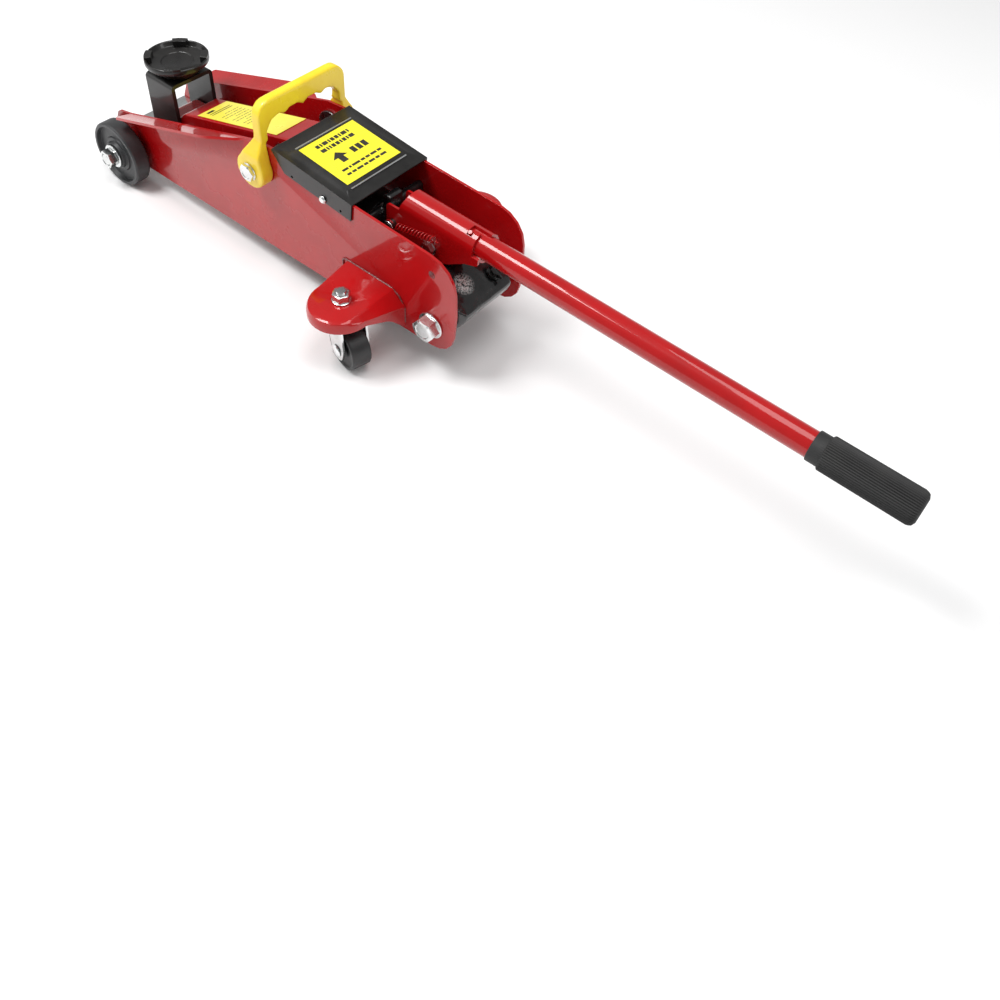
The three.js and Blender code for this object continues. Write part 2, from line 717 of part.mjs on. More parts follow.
function coverPlate() {
  const side = outline([
    [COVER_FRONT_X, COVER_FRONT_Z, 0.8],
    [COVER_REAR_X, COVER_REAR_Z, 0.8],
    [COVER_REAR_X - 1.9, COVER_REAR_Z - 17.6],
    [COVER_FRONT_X + 14, COVER_FRONT_Z - 19.5],
    [COVER_FRONT_X - 0.6, COVER_FRONT_Z - 2.2],
  ]);
  const under = (x) => coverTopAt(x) - COVER_SHEET;
  const hollow = outline([
    [COVER_FRONT_X - 10, 60],
    [COVER_FRONT_X - 10, under(COVER_FRONT_X - 10)],
    [COVER_REAR_X + 10, under(COVER_REAR_X + 10)],
    [COVER_REAR_X + 10, 60],
  ]);
  const hole = (radius, x, z) => rod("y", radius, -COVER_OUTER - 1, COVER_OUTER + 1, [x, 0, z], 12);
  return without(
    joined(across(side, -COVER_OUTER, COVER_OUTER), raisedPanel()),
    across(hollow, -COVER_INNER, COVER_INNER),
    hole(SCREW_RADIUS + RUNNING, SCREW_X, SCREW_Z),
    hole(1.2, SCREW_X - 38, coverTopAt(SCREW_X - 38) - 15.3),
    hole(1.2, SCREW_X + 20.6, coverTopAt(SCREW_X + 20.6) - 14.5),
  );
}

// The embossed field under the label, with sloping edges.
const PANEL_RISE = 1.2;
const PANEL_START = 13;
const PANEL_END = 84;
const PANEL_HALF = 39;
function raisedPanel() {
  const shape = outline([
    [PANEL_START, -PANEL_HALF, 3],
    [PANEL_END, -PANEL_HALF, 3],
    [PANEL_END, PANEL_HALF, 3],
    [PANEL_START, PANEL_HALF, 3],
  ]);
  const geometry = new THREE.ExtrudeGeometry(shape, {
    depth: 1,
    bevelThickness: PANEL_RISE,
    bevelSize: 2,
    bevelOffset: -2,
    bevelSegments: 1,
    curveSegments: 3,
  });
  geometry.translate(0, 0, -1);
  return solid(onCover(geometry));
}

// From a flat lying on z = 0 at the cover's front edge to the slope of the cover.
function onCover(geometry) {
  return geometry.rotateY(COVER_ANGLE).translate(COVER_FRONT_X, 0, COVER_FRONT_Z);
}

const LABEL_START = 18.5;
const LABEL_END = 77.5;
const LABEL_HALF = 32;
function coverLabel() {
  const thickness = LABEL_THICKNESS;
  const geometry = new THREE.BoxGeometry(LABEL_END - LABEL_START, 2 * LABEL_HALF, thickness);
  geometry.translate((LABEL_START + LABEL_END) / 2, 0, PANEL_RISE + GAP + thickness / 2);
  return solid(onCover(geometry));
}
add("cover_plate", coverPlate(), blackPaint());
add("cover_label", coverLabel(), sticker(0xf4e838));
addPair(
  "cover_screw",
  joined(
    turned("y", [[0, -2.4], [2.6, -2.2], [3.8, -0.9], [3.8, 0], [0, 0]], [SCREW_X, -COVER_OUTER - GAP, SCREW_Z], 16),
    rod("y", SCREW_RADIUS, -0.5, 7.5, [SCREW_X, -COVER_OUTER - GAP, SCREW_Z], 12),
  ),
  zinc,
);

// ---------- Hydraulic unit ----------

const ramAt = [0, 0, RAM_Z];
const CAP_REAR = TANK_FRONT_X + 12;
const PLUNGER_Z = 86;
const PLUNGER_RADIUS = 6.5;
const ROLLER_RADIUS = 6.4;
const ROLLER_FRONT = YOKE_X - YOKE_PIN_REACH - ROLLER_RADIUS;
const PLUNGER_REAR = ROLLER_FRONT - 3.2;
const WALL_FRONT = TANK_REAR_X + GAP;
const WALL_REAR = WALL_FRONT + 9;
const EAR_RADIUS = 8;
const YOKE_BOLT_RADIUS = 4;
const CYLINDER_RADIUS = 14;

function unitCasting() {
  const wide = BETWEEN_PLATES;
  const base = outline([
    [WALL_FRONT, 34, 4],
    [WALL_FRONT, 107, 4],
    [WALL_REAR, 107, 4],
    [WALL_REAR + 1, 50, 6],
    [178, 50, 6],
    [181, 85, 5],
    [191, 85, 8],
    [226, 65.5, 3],
    [222, 55, 6],
    [207, 37, 8],
    [190, 33, 6],
  ]);
  const plan = outline([
    [WALL_FRONT - 5, -wide, 2],
    [WALL_FRONT - 5, wide, 2],
    [206, wide, 8],
    [233, 24, 10],
    [233, -24, 10],
    [206, -wide, 8],
  ]);
  const ear = outline([
    [YOKE_X - 9, 45],
    [YOKE_X - EAR_RADIUS + 0.6, YOKE_Z],
    [YOKE_X + EAR_RADIUS - 0.6, YOKE_Z],
    [YOKE_X + 14, 45],
  ]);
  const stop = outline([
    [WALL_FRONT + 7, 60],
    [WALL_FRONT + 7, 121, 3],
    [ROLLER_FRONT - 1.5, 121, 3],
    [ROLLER_FRONT - 1.5, 108, 2],
    [PLUNGER_REAR - 2, 104],
    [PLUNGER_REAR - 2, 60],
  ]);
  const pivot = [YOKE_X, 0, YOKE_Z];
  const body = joined(
    across(base, -wide, wide).intersect(upright(plan, 0, 130)),
    across(ear, -UNIT_EAR_HALF, UNIT_EAR_HALF),
    rod("y", EAR_RADIUS, -UNIT_EAR_HALF, UNIT_EAR_HALF, pivot, 24),
    across(stop, -8, 8),
    rod("x", CYLINDER_RADIUS, CAP_REAR + GAP, WALL_FRONT + 1, ramAt, 24),
  );
  return without(
    body,
    rod("y", YOKE_BOLT_RADIUS + RUNNING, -wide, wide, pivot),
    rod("y", UNIT_BOLT_RADIUS + RUNNING, -wide - 1, -wide + 21, [UNIT_BOLT_X, 0, UNIT_BOLT_Z]),
    rod("y", UNIT_BOLT_RADIUS + RUNNING, wide - 21, wide + 1, [UNIT_BOLT_X, 0, UNIT_BOLT_Z]),
    rod("x", PLUNGER_RADIUS + RUNNING, WALL_FRONT + 2, WALL_REAR + 10, [0, 0, PLUNGER_Z]),
    rod("x", RAM_RADIUS + RUNNING, CAP_REAR - 1, TANK_REAR_X - 3, ramAt, 24),
    rod("z", VALVE_RADIUS + RUNNING, -14, 2, [0, 0, 0]).transform(valvePlace()),
  );
}

// The release valve stands square on the sloping rear face, beside the handle.
const VALVE_RADIUS = 4.5;
const VALVE_Y = 20;
const VALVE_X = 212;
const SLOPE_ANGLE = Math.atan2(85 - 65.5, 226 - 191);
function valvePlace() {
  const z = 85 - (VALVE_X - 191) * Math.tan(SLOPE_ANGLE);
  const place = new THREE.Matrix4().makeRotationY(SLOPE_ANGLE);
  return place.setPosition(VALVE_X, VALVE_Y, z).toArray();
}

function releaseValve() {
  const stem = joined(
    rod("z", VALVE_RADIUS, -13, 7, [0, 0, 0], 16),
    rod("z", 6.5, 1, 4, [0, 0, 0], 20),
    rod("x", 1.8, -8.5, 8.5, [0, 0, 5.4], 10),
  );
  return stem.transform(valvePlace());
}
add("power_unit", unitCasting(), castIron());
add("release_valve", releaseValve(), blackPaint());
addPair(
  "unit_bolt",
  sideBolt(
    UNIT_BOLT_X,
    UNIT_BOLT_Z,
    -FRAME_HALF_WIDTH - GAP,
    { flats: 20, height: 10, flange: 12.6, washer: 1.6, turn: 0.15 },
    { radius: UNIT_BOLT_RADIUS, length: PLATE + 20 },
  ),
  zinc,
);

add(
  "ram_cylinder",
  without(
    tube("x", TANK_RADIUS - 3, TANK_RADIUS, CAP_REAR + GAP, TANK_REAR_X, ramAt, 32),
    rod("z", 5 + RUNNING, RAM_Z, 130, [80, 0, 0], 16),
  ),
  blackPaint(),
);
add(
  "filler_plug",
  joined(
    rod("z", 5, RAM_Z + TANK_RADIUS - 4, RAM_Z + TANK_RADIUS + 2, [80, 0, 0], 16),
    rod("z", 8, RAM_Z + TANK_RADIUS + 1, RAM_Z + TANK_RADIUS + 5, [80, 0, 0], 20),
  ),
  rubber(),
);
add(
  "tank_cap",
  without(
    joined(
      hexagon("x", 52, TANK_FRONT_X, TANK_FRONT_X + 7, ramAt),
      rod("x", TANK_RADIUS + 2, TANK_FRONT_X + 6, CAP_REAR, ramAt, 32),
    ),
    rod("x", RAM_RADIUS + RUNNING, 0, 100, ramAt),
  ),
  darkSteel(),
);
const HEAD_GAP = 0.8;
const HEAD_FRONT = PIVOT_X + CRANK_X + CRANK_PIN_RADIUS + HEAD_GAP;
const HEAD_REAR = HEAD_FRONT + 10;
add("ram_rod", rod("x", RAM_RADIUS, HEAD_REAR - 6, TANK_REAR_X - 4, ramAt, 24), chrome());
function ramHead() {
  const half = ARM_HALF_WIDTH - ARM_WALL - 3;
  return without(
    box(HEAD_FRONT, HEAD_REAR, -half, half, RAM_Z - 11, RAM_Z + 11),
    rod("x", RAM_RADIUS + RUNNING, HEAD_REAR - 6 - GAP, HEAD_REAR + 5, ramAt, 24),
  );
}
add("ram_head", ramHead(), darkSteel());

// The plunger stands out of the wall's boss and the yoke's roller pushes it in.
add(
  "pump_plunger",
  rod("x", PLUNGER_RADIUS, WALL_FRONT + 3, PLUNGER_REAR, [0, 0, PLUNGER_Z]),
  chrome(),
);

// ---------- Yoke, in its own frame: pivot at the origin, tube axis above it ----------

const axisAt = [0, 0, TUBE_OVER_PIVOT];
const YOKE_PIN_RADIUS = 4;
const SLOT_PIN_ALONG = 35.5;
const SLOT_PIN_ANGLE = THREE.MathUtils.degToRad(116); // about the tube, from +Y through the top
const SLOT_PIN_RADIUS = 2.1;
const TWIST = THREE.MathUtils.degToRad(-28); // from locked to the slot's way out
const yokePinAt = [-YOKE_PIN_REACH, 0, 0.8];

// A wedge of the ring round the tube's axis, between two angles, along part of the tube.
function wedge(from, to, start, end) {
  const shape = new THREE.Shape();
  shape.moveTo(0, 0);
  for (let step = 0; step <= 6; step += 1) {
    const angle = from + ((to - from) * step) / 6;
    shape.lineTo(40 * Math.cos(angle), 40 * Math.sin(angle));
  }
  shape.closePath();
  return along(shape, start, end).translate(axisAt);
}

function bayonetSlot() {
  const play = (SLOT_PIN_RADIUS + 0.5) / SOCKET_OUTER;
  const wayIn = SLOT_PIN_ANGLE + TWIST;
  const start = SLOT_PIN_ALONG - SLOT_PIN_RADIUS - 0.5;
  const end = SLOT_PIN_ALONG + SLOT_PIN_RADIUS + 0.6;
  return joined(
    wedge(wayIn - play, SLOT_PIN_ANGLE + play, start, end),
    wedge(wayIn - play, wayIn + play, start, SOCKET_REAR + 5),
    wedge(wayIn, Math.PI + 0.35, SOCKET_REAR - 7, SOCKET_REAR + 5),
  );
}

function cheekOutline() {
  return outline([
    [-50, -8, 7],
    [-50.4, 18, 3],
    [-36, 18.6],
    [-36, TUBE_OVER_PIVOT],
    [SOCKET_REAR, TUBE_OVER_PIVOT],
    [SOCKET_REAR, 9, 3],
    [37, 4, 6],
    [16, -10, 12],
    [-34, -9, 4],
  ]);
}

function yoke() {
  const socket = tube("x", SOCKET_INNER, SOCKET_OUTER, SOCKET_FRONT, SOCKET_REAR, axisAt, 36);
  const low = TUBE_OVER_PIVOT;
  const opened = without(socket, box(SOCKET_FRONT - 1, 22, -SOCKET_INNER, SOCKET_INNER, 0, low));
  const cheek = across(cheekOutline(), -SOCKET_OUTER, -SOCKET_INNER);
  const slant = outline([
    [SOCKET_FRONT - 10, low],
    [SOCKET_FRONT - 1, low],
    [SOCKET_FRONT + 7, low + 20],
    [SOCKET_FRONT - 10, low + 20],
  ]);
  const reach = SOCKET_OUTER + 1;
  return without(
    joined(opened, cheek, mirrored(cheek)),
    across(slant, -reach, reach),
    bayonetSlot(),
    rod("y", YOKE_BOLT_RADIUS + RUNNING, -reach, reach, [0, 0, 0]),
    rod("y", YOKE_PIN_RADIUS + RUNNING, -reach, reach, yokePinAt),
  );
}
add("yoke", yoke(), redPaint(), swinging);

addPair(
  "yoke_bolt",
  sideBolt(
    0,
    0,
    -SOCKET_OUTER - GAP,
    { flats: 11.5, height: 5, flange: 7, washer: 1, turn: 0.4 },
    { radius: YOKE_BOLT_RADIUS, length: SOCKET_OUTER - 2 },
  ),
  zinc,
  swinging,
);
const yokePinHalf = SOCKET_OUTER + 7.4;
add("yoke_pin", rod("y", YOKE_PIN_RADIUS, -yokePinHalf, yokePinHalf, yokePinAt), darkSteel(), swinging);
add(
  "yoke_roller",
  tube("y", YOKE_PIN_RADIUS + RUNNING, ROLLER_RADIUS, -UNIT_EAR_HALF, UNIT_EAR_HALF, yokePinAt, 20),
  zinc(),
  swinging,
);

// A coil spring with an eye round the front pin and a straight tail at the rear.
const SPRING_RADIUS = 3;
const WIRE = 1.1;
const SPRING_Y = -SOCKET_OUTER - SPRING_RADIUS - WIRE / 2 - 0.4;
const SPRING_COILS = 11;
const SPRING_START = [-33.5, 4.4];
const SPRING_END = [8, 14.6];
const STEPS_PER_COIL = 7;

function springPath() {
  const points = [];
  const eye = YOKE_PIN_RADIUS + WIRE / 2 + 0.4;
  for (let step = 0; step <= 9; step += 1) {
    const angle = 0.9 + (step * 5) / 9;
    points.push([yokePinAt[0] + eye * Math.cos(angle), SPRING_Y, yokePinAt[2] + eye * Math.sin(angle)]);
  }
  const [x0, z0] = SPRING_START;
  const [x1, z1] = SPRING_END;
  const tilt = Math.atan2(z1 - z0, x1 - x0);
  const steps = SPRING_COILS * STEPS_PER_COIL;
  for (let step = 0; step <= steps; step += 1) {
    const part = step / steps;
    const turn = (2 * Math.PI * step) / STEPS_PER_COIL - Math.PI / 2;
    const over = SPRING_RADIUS * Math.sin(turn);
    points.push([
      x0 + (x1 - x0) * part - over * Math.sin(tilt),
      SPRING_Y - SPRING_RADIUS * Math.cos(turn),
      z0 + (z1 - z0) * part + over * Math.cos(tilt),
    ]);
  }
  points.push([x1 + 3.5, SPRING_Y, z1 - 1.5], [x1 + 8, SPRING_Y, z1 - 0.5]);
  return new THREE.CatmullRomCurve3(points.map((point) => new THREE.Vector3(...point)));
}

function coilSpring() {
  const section = new THREE.Shape();
  const sides = 5;
  for (let side = 0; side < sides; side += 1) {
    const angle = (2 * Math.PI * side) / sides;
    const at = [(WIRE / 2) * Math.cos(angle), (WIRE / 2) * Math.sin(angle)];
    if (side === 0) section.moveTo(...at);
    else section.lineTo(...at);
  }
  section.closePath();
  const path = springPath();
  const steps = path.points.length + 6;
  return solid(new THREE.ExtrudeGeometry(section, { steps, bevelEnabled: false, extrudePath: path }));
}
addPair("yoke_spring", coilSpring(), redPaint, swinging);

// ---------- Pump handle ----------

function slotPin(radius, from, to) {
  const pin = rod("z", radius, from, to, [0, 0, 0], 12);
  const turn = THREE.MathUtils.radToDeg(SLOT_PIN_ANGLE) - 90;
  return pin.rotate([turn, 0, 0]).translate([SLOT_PIN_ALONG, 0, TUBE_OVER_PIVOT]);
}
const TUBE_END = HANDLE_REAR - 5;
add(
  "pump_handle",
  without(
    tube("x", TUBE_RADIUS - TUBE_WALL, TUBE_RADIUS, HANDLE_FRONT, TUBE_END, axisAt, 32),
    slotPin(SLOT_PIN_RADIUS + RUNNING, 5, 20),
  ),
  redPaint(),
  swinging,
);
add("bayonet_pin", slotPin(SLOT_PIN_RADIUS, TUBE_RADIUS - 3.5, SOCKET_OUTER + 1.2), redPaint(), swinging);

function grip() {
  const [start, end] = [HANDLE_REAR - GRIP_LENGTH, HANDLE_REAR];
  const bore = TUBE_RADIUS + RUNNING;
  const [collar, thick] = [TUBE_RADIUS + 1.3, TUBE_RADIUS + 3.1];
  const profile = [
    [bore, start],
    [collar, start],
    [collar, start + 9],
    [thick - 0.8, start + 9.2],
    [thick, start + 10.5],
    [thick, end - 4.5],
    [thick - 1.2, end - 1.6],
    [thick - 4.4, end],
    [0, end],
    [0, TUBE_END + GAP],
    [bore, TUBE_END + GAP],
    [bore, start],
  ];
  return turned("x", profile, axisAt, 32);
}
add("handle_grip", grip(), rubber(), swinging);

// ---------- Caster wings and casters ----------

const WING_ROOT = FRAME_HALF_WIDTH + GAP;
const WING_SKIRT = 54;
const WING_EDGE = 5;
const WING_REAR_X = CASTER_X + 37;

// The plan of a wing, drawn inside its outer edge by an inset; the root lies on the side plate.
function wingPlan(inset) {
  const reach = WING_RADIUS - inset;
  const shape = new THREE.Shape();
  shape.moveTo(CASTER_X - 36 + inset, -WING_ROOT + 12);
  shape.lineTo(CASTER_X - reach, -CASTER_Y);
  shape.absarc(CASTER_X, -CASTER_Y - 2, reach, Math.PI, 2 * Math.PI, false);
  shape.lineTo(WING_REAR_X + 1 - inset, -WING_ROOT + 12);
  shape.closePath();
  return shape;
}

function pressedBlank(inset, bottom, top, edge) {
  const rear = WING_REAR_X - inset;
  const profile = outline([
    [CASTER_X - 60, bottom - 1],
    [CASTER_X - 60, top + 1],
    [rear - 16, top + 1, 6],
    [rear, top - 13, 10],
    [rear, bottom - 1],
  ]);
  const geometry = new THREE.ExtrudeGeometry(wingPlan(inset), {
    depth: top - bottom - edge,
    bevelThickness: edge,
    bevelSize: edge,
    bevelOffset: -edge,
    bevelSegments: 2,
    curveSegments: 10,
  });
  return solid(geometry.translate(0, 0, bottom)).intersect(across(profile, -CASTER_Y - 60, 0));
}

function casterWing() {
  const outer = pressedBlank(0, 20, WING_TOP, WING_EDGE);
  const inner = pressedBlank(WING_SHEET, 14, WING_TOP - WING_SHEET, WING_EDGE - WING_SHEET);
  const room = outline([
    [-WING_ROOT, 30],
    [-WING_ROOT - 4, 33, 4],
    [-WING_ROOT - 16, 46, 20],
    [-CASTER_Y, WING_SKIRT],
    [-CASTER_Y - 60, WING_SKIRT],
    [-CASTER_Y - 60, 0],
    [-WING_ROOT, 0],
  ]);
  const shallow = box(CASTER_X - 60, CASTER_X + 16, -CASTER_Y - 60, -WING_ROOT + 20, 0, WING_SKIRT);
  return without(
    outer,
    inner,
    along(room, CASTER_X, CASTER_X + 60),
    shallow,
    box(CASTER_X - 60, CASTER_X + 60, -WING_ROOT, 0, 0, 100),
    box(CASTER_X - 60, CASTER_X + 60, -CASTER_Y - 60, 0, 0, 24),
    rod("z", SWIVEL_RADIUS + RUNNING, 40, 80, [CASTER_X, -CASTER_Y, 0]),
  );
}

const SWIVEL_RADIUS = 4.5;
addPair("caster_wing", casterWing(), redPaint);

const FORK_SHEET = 2;
const FORK_TOP = WING_TOP - WING_SHEET - 1;
const FORK_INNER = CASTER_WIDTH / 2 + 1.6;
const FORK_OUTER = FORK_INNER + FORK_SHEET;
const CASTER_AXLE_RADIUS = 3;
const casterAxle = [CASTER_TRAIL, 0, CASTER_RADIUS];

// Each caster is drawn trailing towards +X about its own swivel axis and then set in place.
function swivelled(body) {
  return body.rotate([0, 0, -THREE.MathUtils.radToDeg(CASTER_SWIVEL)]).translate([CASTER_X, -CASTER_Y, 0]);
}

function casterFork() {
  const side = outline([
    [-13, FORK_TOP, 2],
    [17, FORK_TOP, 2],
    [CASTER_TRAIL + 10.5, CASTER_RADIUS + 4, 6],
    [CASTER_TRAIL + 7, CASTER_RADIUS - 9, 7],
    [CASTER_TRAIL - 7, CASTER_RADIUS - 9, 7],
    [CASTER_TRAIL - 11, CASTER_RADIUS + 6, 6],
  ]);
  const blank = across(side, -FORK_OUTER, FORK_OUTER);
  return without(
    blank,
    box(-40, 40, -FORK_INNER, FORK_INNER, -10, FORK_TOP - FORK_SHEET),
    rod("z", SWIVEL_RADIUS + RUNNING, FORK_TOP - 10, FORK_TOP + 5, [0, 0, 0]),
    rod("y", CASTER_AXLE_RADIUS + RUNNING, -20, 20, casterAxle),
  );
}

function casterWheel() {
  const r = CASTER_RADIUS;
  const half = CASTER_WIDTH / 2;
  const bore = CASTER_AXLE_RADIUS + RUNNING;
  const rim = [
    [bore, half],
    [7, half],
    [8, half - 1.4],
    [r - 4, half - 1.4],
    [r - 3, half],
    [r - 1, half],
    [r, half - 1],
  ];
  const back = rim.map(([radius, y]) => [radius, -y]).reverse();
  return turned("y", [...rim, ...back, rim[0]], casterAxle, 24);
}

function casterPin() {
  const headed = [
    [0, -FORK_OUTER - 2.6],
    [4, -FORK_OUTER - 2.6],
    [6, -FORK_OUTER - 1.2],
    [6, -FORK_OUTER - GAP],
    [CASTER_AXLE_RADIUS, -FORK_OUTER - GAP],
    [CASTER_AXLE_RADIUS, FORK_OUTER + GAP],
    [6, FORK_OUTER + GAP],
    [6, FORK_OUTER + 1.2],
    [4, FORK_OUTER + 2.6],
    [0, FORK_OUTER + 2.6],
  ];
  return turned("y", headed, casterAxle, 20);
}

function swivelBolt() {
  const top = WING_TOP + GAP;
  return joined(
    rod("z", 8.4, top, top + 1.2, [0, 0, 0], 24),
    hexagon("z", 14, top + 1, top + 8, [0, 0, 0], 0.3),
    rod("z", SWIVEL_RADIUS, FORK_TOP - FORK_SHEET - 2, top + 10, [0, 0, 0], 16),
    rod("z", 7, FORK_TOP - FORK_SHEET - GAP - 2, FORK_TOP - FORK_SHEET - GAP, [0, 0, 0], 20),
  );
}
addPair("caster_bolt", swivelled(swivelBolt()), zinc);
addPair("caster_fork", swivelled(casterFork()), zinc);
addPair("caster_wheel", swivelled(casterWheel()), wheelPlastic);
addPair("caster_axle", swivelled(casterPin()), zinc);

// The part's origin is on the floor, in the middle of the jack's overall length.
const bounds = new THREE.Box3().setFromObject(jack, true);
jack.position.x = -(bounds.min.x + bounds.max.x) / 2;

export default jack;
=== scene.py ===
# %% [markdown]
# # A hydraulic floor jack for a studio picture
# The jack is mostly pressed sheet steel under glossy red paint, with a black cover, a black
# cast pump unit, zinc-plated bolts and a few moulded plastics. The machinist's model gives
# every piece's true size and place. This lesson gives each piece its made look: rolled edges,
# rounded castings, chamfered bolt heads and finishes with grain, wear and dust in them.

# %% Load the frame
import json
import math

import bmesh
import bpy
from mathutils import Matrix, Vector, noise


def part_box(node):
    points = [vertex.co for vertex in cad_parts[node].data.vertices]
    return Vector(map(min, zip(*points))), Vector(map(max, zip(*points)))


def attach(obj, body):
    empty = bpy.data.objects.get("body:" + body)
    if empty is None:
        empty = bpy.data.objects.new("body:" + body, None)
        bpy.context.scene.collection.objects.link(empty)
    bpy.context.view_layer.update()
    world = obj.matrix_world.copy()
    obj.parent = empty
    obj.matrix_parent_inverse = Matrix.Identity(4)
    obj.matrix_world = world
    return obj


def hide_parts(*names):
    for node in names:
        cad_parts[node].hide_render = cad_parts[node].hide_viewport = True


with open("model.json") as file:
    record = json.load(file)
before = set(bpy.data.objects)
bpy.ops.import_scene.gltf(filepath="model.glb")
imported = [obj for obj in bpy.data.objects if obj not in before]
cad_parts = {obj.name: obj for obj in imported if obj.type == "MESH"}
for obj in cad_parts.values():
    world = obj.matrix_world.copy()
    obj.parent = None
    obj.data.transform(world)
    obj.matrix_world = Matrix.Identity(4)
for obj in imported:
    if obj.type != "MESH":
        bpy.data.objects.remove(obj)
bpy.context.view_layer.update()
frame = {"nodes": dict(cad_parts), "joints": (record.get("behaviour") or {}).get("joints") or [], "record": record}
BODY_OF = {
    node: body
    for body, nodes in frame["record"]["behaviour"]["bodies"].items()
    for node in nodes
}
JOINTS = {joint["name"]: joint for joint in frame["joints"]}
MM = 0.001

# %% [markdown]
# ## Shared effects as node groups
# Every finish on the jack is a simple coat with the same three small stories told over it:
# a fine grain with slow clouds, paint rubbed thin on edges, and dust that settles on faces
# that look up. Painted by hand they would have to be done again for every piece. As node
# groups they are built once, and each material sets their sizes for its own surface.

# %% Helpers that write nodes
def put(tree, kind, wires=(), named=None, **settings):
    """Adds a shader node, with its inputs set or wired by position and by name."""
    made = tree.nodes.new("ShaderNode" + kind)
    for key, value in settings.items():
        setattr(made, key, value)
    pairs = list(zip(made.inputs, wires))
    pairs += [(made.inputs[key], value) for key, value in (named or {}).items()]
    for socket, value in pairs:
        if value is None:
            continue
        if isinstance(value, bpy.types.NodeSocket):
            tree.links.new(value, socket)
        else:
            socket.default_value = value
    return made


def math_of(tree, operation, *wires, clamp=False):
    return put(tree, "Math", wires, operation=operation, use_clamp=clamp).outputs[0]


def ranged(tree, value, low, high, to_low=0.0, to_high=1.0):
    """A value's range low to high, spread over another range and held inside it."""
    return put(tree, "MapRange", (value, low, high, to_low, to_high)).outputs[0]


def blended(tree, share, first, second):
    """A colour between two others."""
    made = put(tree, "Mix", data_type="RGBA")
    sockets = (made.inputs[0], made.inputs[6], made.inputs[7])
    for socket, value in zip(sockets, (share, first, second)):
        if isinstance(value, bpy.types.NodeSocket):
            tree.links.new(value, socket)
        else:
            socket.default_value = value if socket == made.inputs[0] else (*value[:3], 1.0)
    return made.outputs[2]


def noise_of(tree, place, scale, detail=3.0, roughness=0.55):
    named = {"Vector": place, "Scale": scale, "Detail": detail, "Roughness": roughness}
    return put(tree, "TexNoise", named=named).outputs[0]


def group_with(name, inputs, outputs):
    """An empty node group with named number sockets."""
    group = bpy.data.node_groups.new(name, "ShaderNodeTree")
    for label, value in inputs.items():
        socket = group.interface.new_socket(label, in_out="INPUT", socket_type="NodeSocketFloat")
        socket.default_value = value
    for label in outputs:
        group.interface.new_socket(label, in_out="OUTPUT", socket_type="NodeSocketFloat")
    return group, group.nodes.new("NodeGroupInput").outputs, group.nodes.new("NodeGroupOutput").inputs

# %% [markdown]
# ### Grain
# Sprayed paint dries with a fine "orange peel", castings keep the texture of the sand, and
# moulded plastic that of the tool. Two sizes of noise make all of them: a fine one for the
# bump, and a slow one that drifts the colour and the gloss.

# %% Grain group
def grain_group():
    group, given, sent = group_with(
        "surface grain",
        {"Fine Scale": 900.0, "Cloud Scale": 25.0, "Coarse Share": 0.3},
        ("Height", "Clouds"),
    )
    place = put(group, "TexCoord").outputs["Object"]
    fine = noise_of(group, place, given["Fine Scale"], 2.0)
    clouds = noise_of(group, place, given["Cloud Scale"], 4.0, 0.6)
    coarse = math_of(group, "MULTIPLY", clouds, given["Coarse Share"])
    group.links.new(math_of(group, "ADD", fine, coarse), sent["Height"])
    group.links.new(ranged(group, clouds, 0.35, 0.65), sent["Clouds"])
    return group


GRAIN = grain_group()

# %% [markdown]
# ### Edge wear
# Paint pulls thin over an edge, and handling rubs it through in patches. A rounded normal
# differs from the true one only near an edge, so their difference is a mask of the edges.

# %% Edge wear group
def wear_group():
    group, given, sent = group_with(
        "edge wear",
        {"Radius": 0.0008, "Patch Scale": 90.0, "Cover": 0.5},
        ("Mask",),
    )
    rounded = put(group, "Bevel", samples=4)
    group.links.new(given["Radius"], rounded.inputs["Radius"])
    true = put(group, "NewGeometry").outputs["Normal"]
    compared = put(group, "VectorMath", (rounded.outputs[0], true), operation="DOT_PRODUCT")
    alike = compared.outputs["Value"]
    edge = ranged(group, math_of(group, "SUBTRACT", 1.0, alike), 0.02, 0.16)
    place = put(group, "TexCoord").outputs["Object"]
    patches = noise_of(group, place, given["Patch Scale"], 6.0, 0.65)
    start = math_of(group, "SUBTRACT", 0.75, math_of(group, "MULTIPLY", given["Cover"], 0.4))
    share = ranged(group, patches, start, math_of(group, "ADD", start, 0.08))
    group.links.new(math_of(group, "MULTIPLY", edge, share), sent["Mask"])
    return group


WEAR = wear_group()

# %% [markdown]
# ### Dust
# A workshop tool is never spotless. Dust lies where a face looks up, in soft drifts.

# %% Dust group
def dust_group():
    group, given, sent = group_with("settled dust", {"Amount": 0.1, "Drift Scale": 40.0}, ("Mask",))
    where = put(group, "TexCoord").outputs
    up = put(group, "SeparateXYZ", (where["Normal"],)).outputs[2]
    drift = noise_of(group, where["Object"], given["Drift Scale"], 6.0, 0.7)
    lying = math_of(group, "MULTIPLY", ranged(group, up, 0.3, 1.0), ranged(group, drift, 0.4, 0.75))
    group.links.new(math_of(group, "MULTIPLY", lying, given["Amount"]), sent["Mask"])
    return group


DUST = dust_group()
DUST_COLOUR = (0.42, 0.39, 0.35)
print("groups:", ", ".join(g.name for g in (GRAIN, WEAR, DUST)))

# %% [markdown]
# ## Finishes
# One function lays the coat and the three effects for any of the materials. Numbers that are
# the same all over a surface, such as the strength of a clear coat, sit on the shader itself.

# %% The finish maker
COAT_ROUGHNESS = 0.04


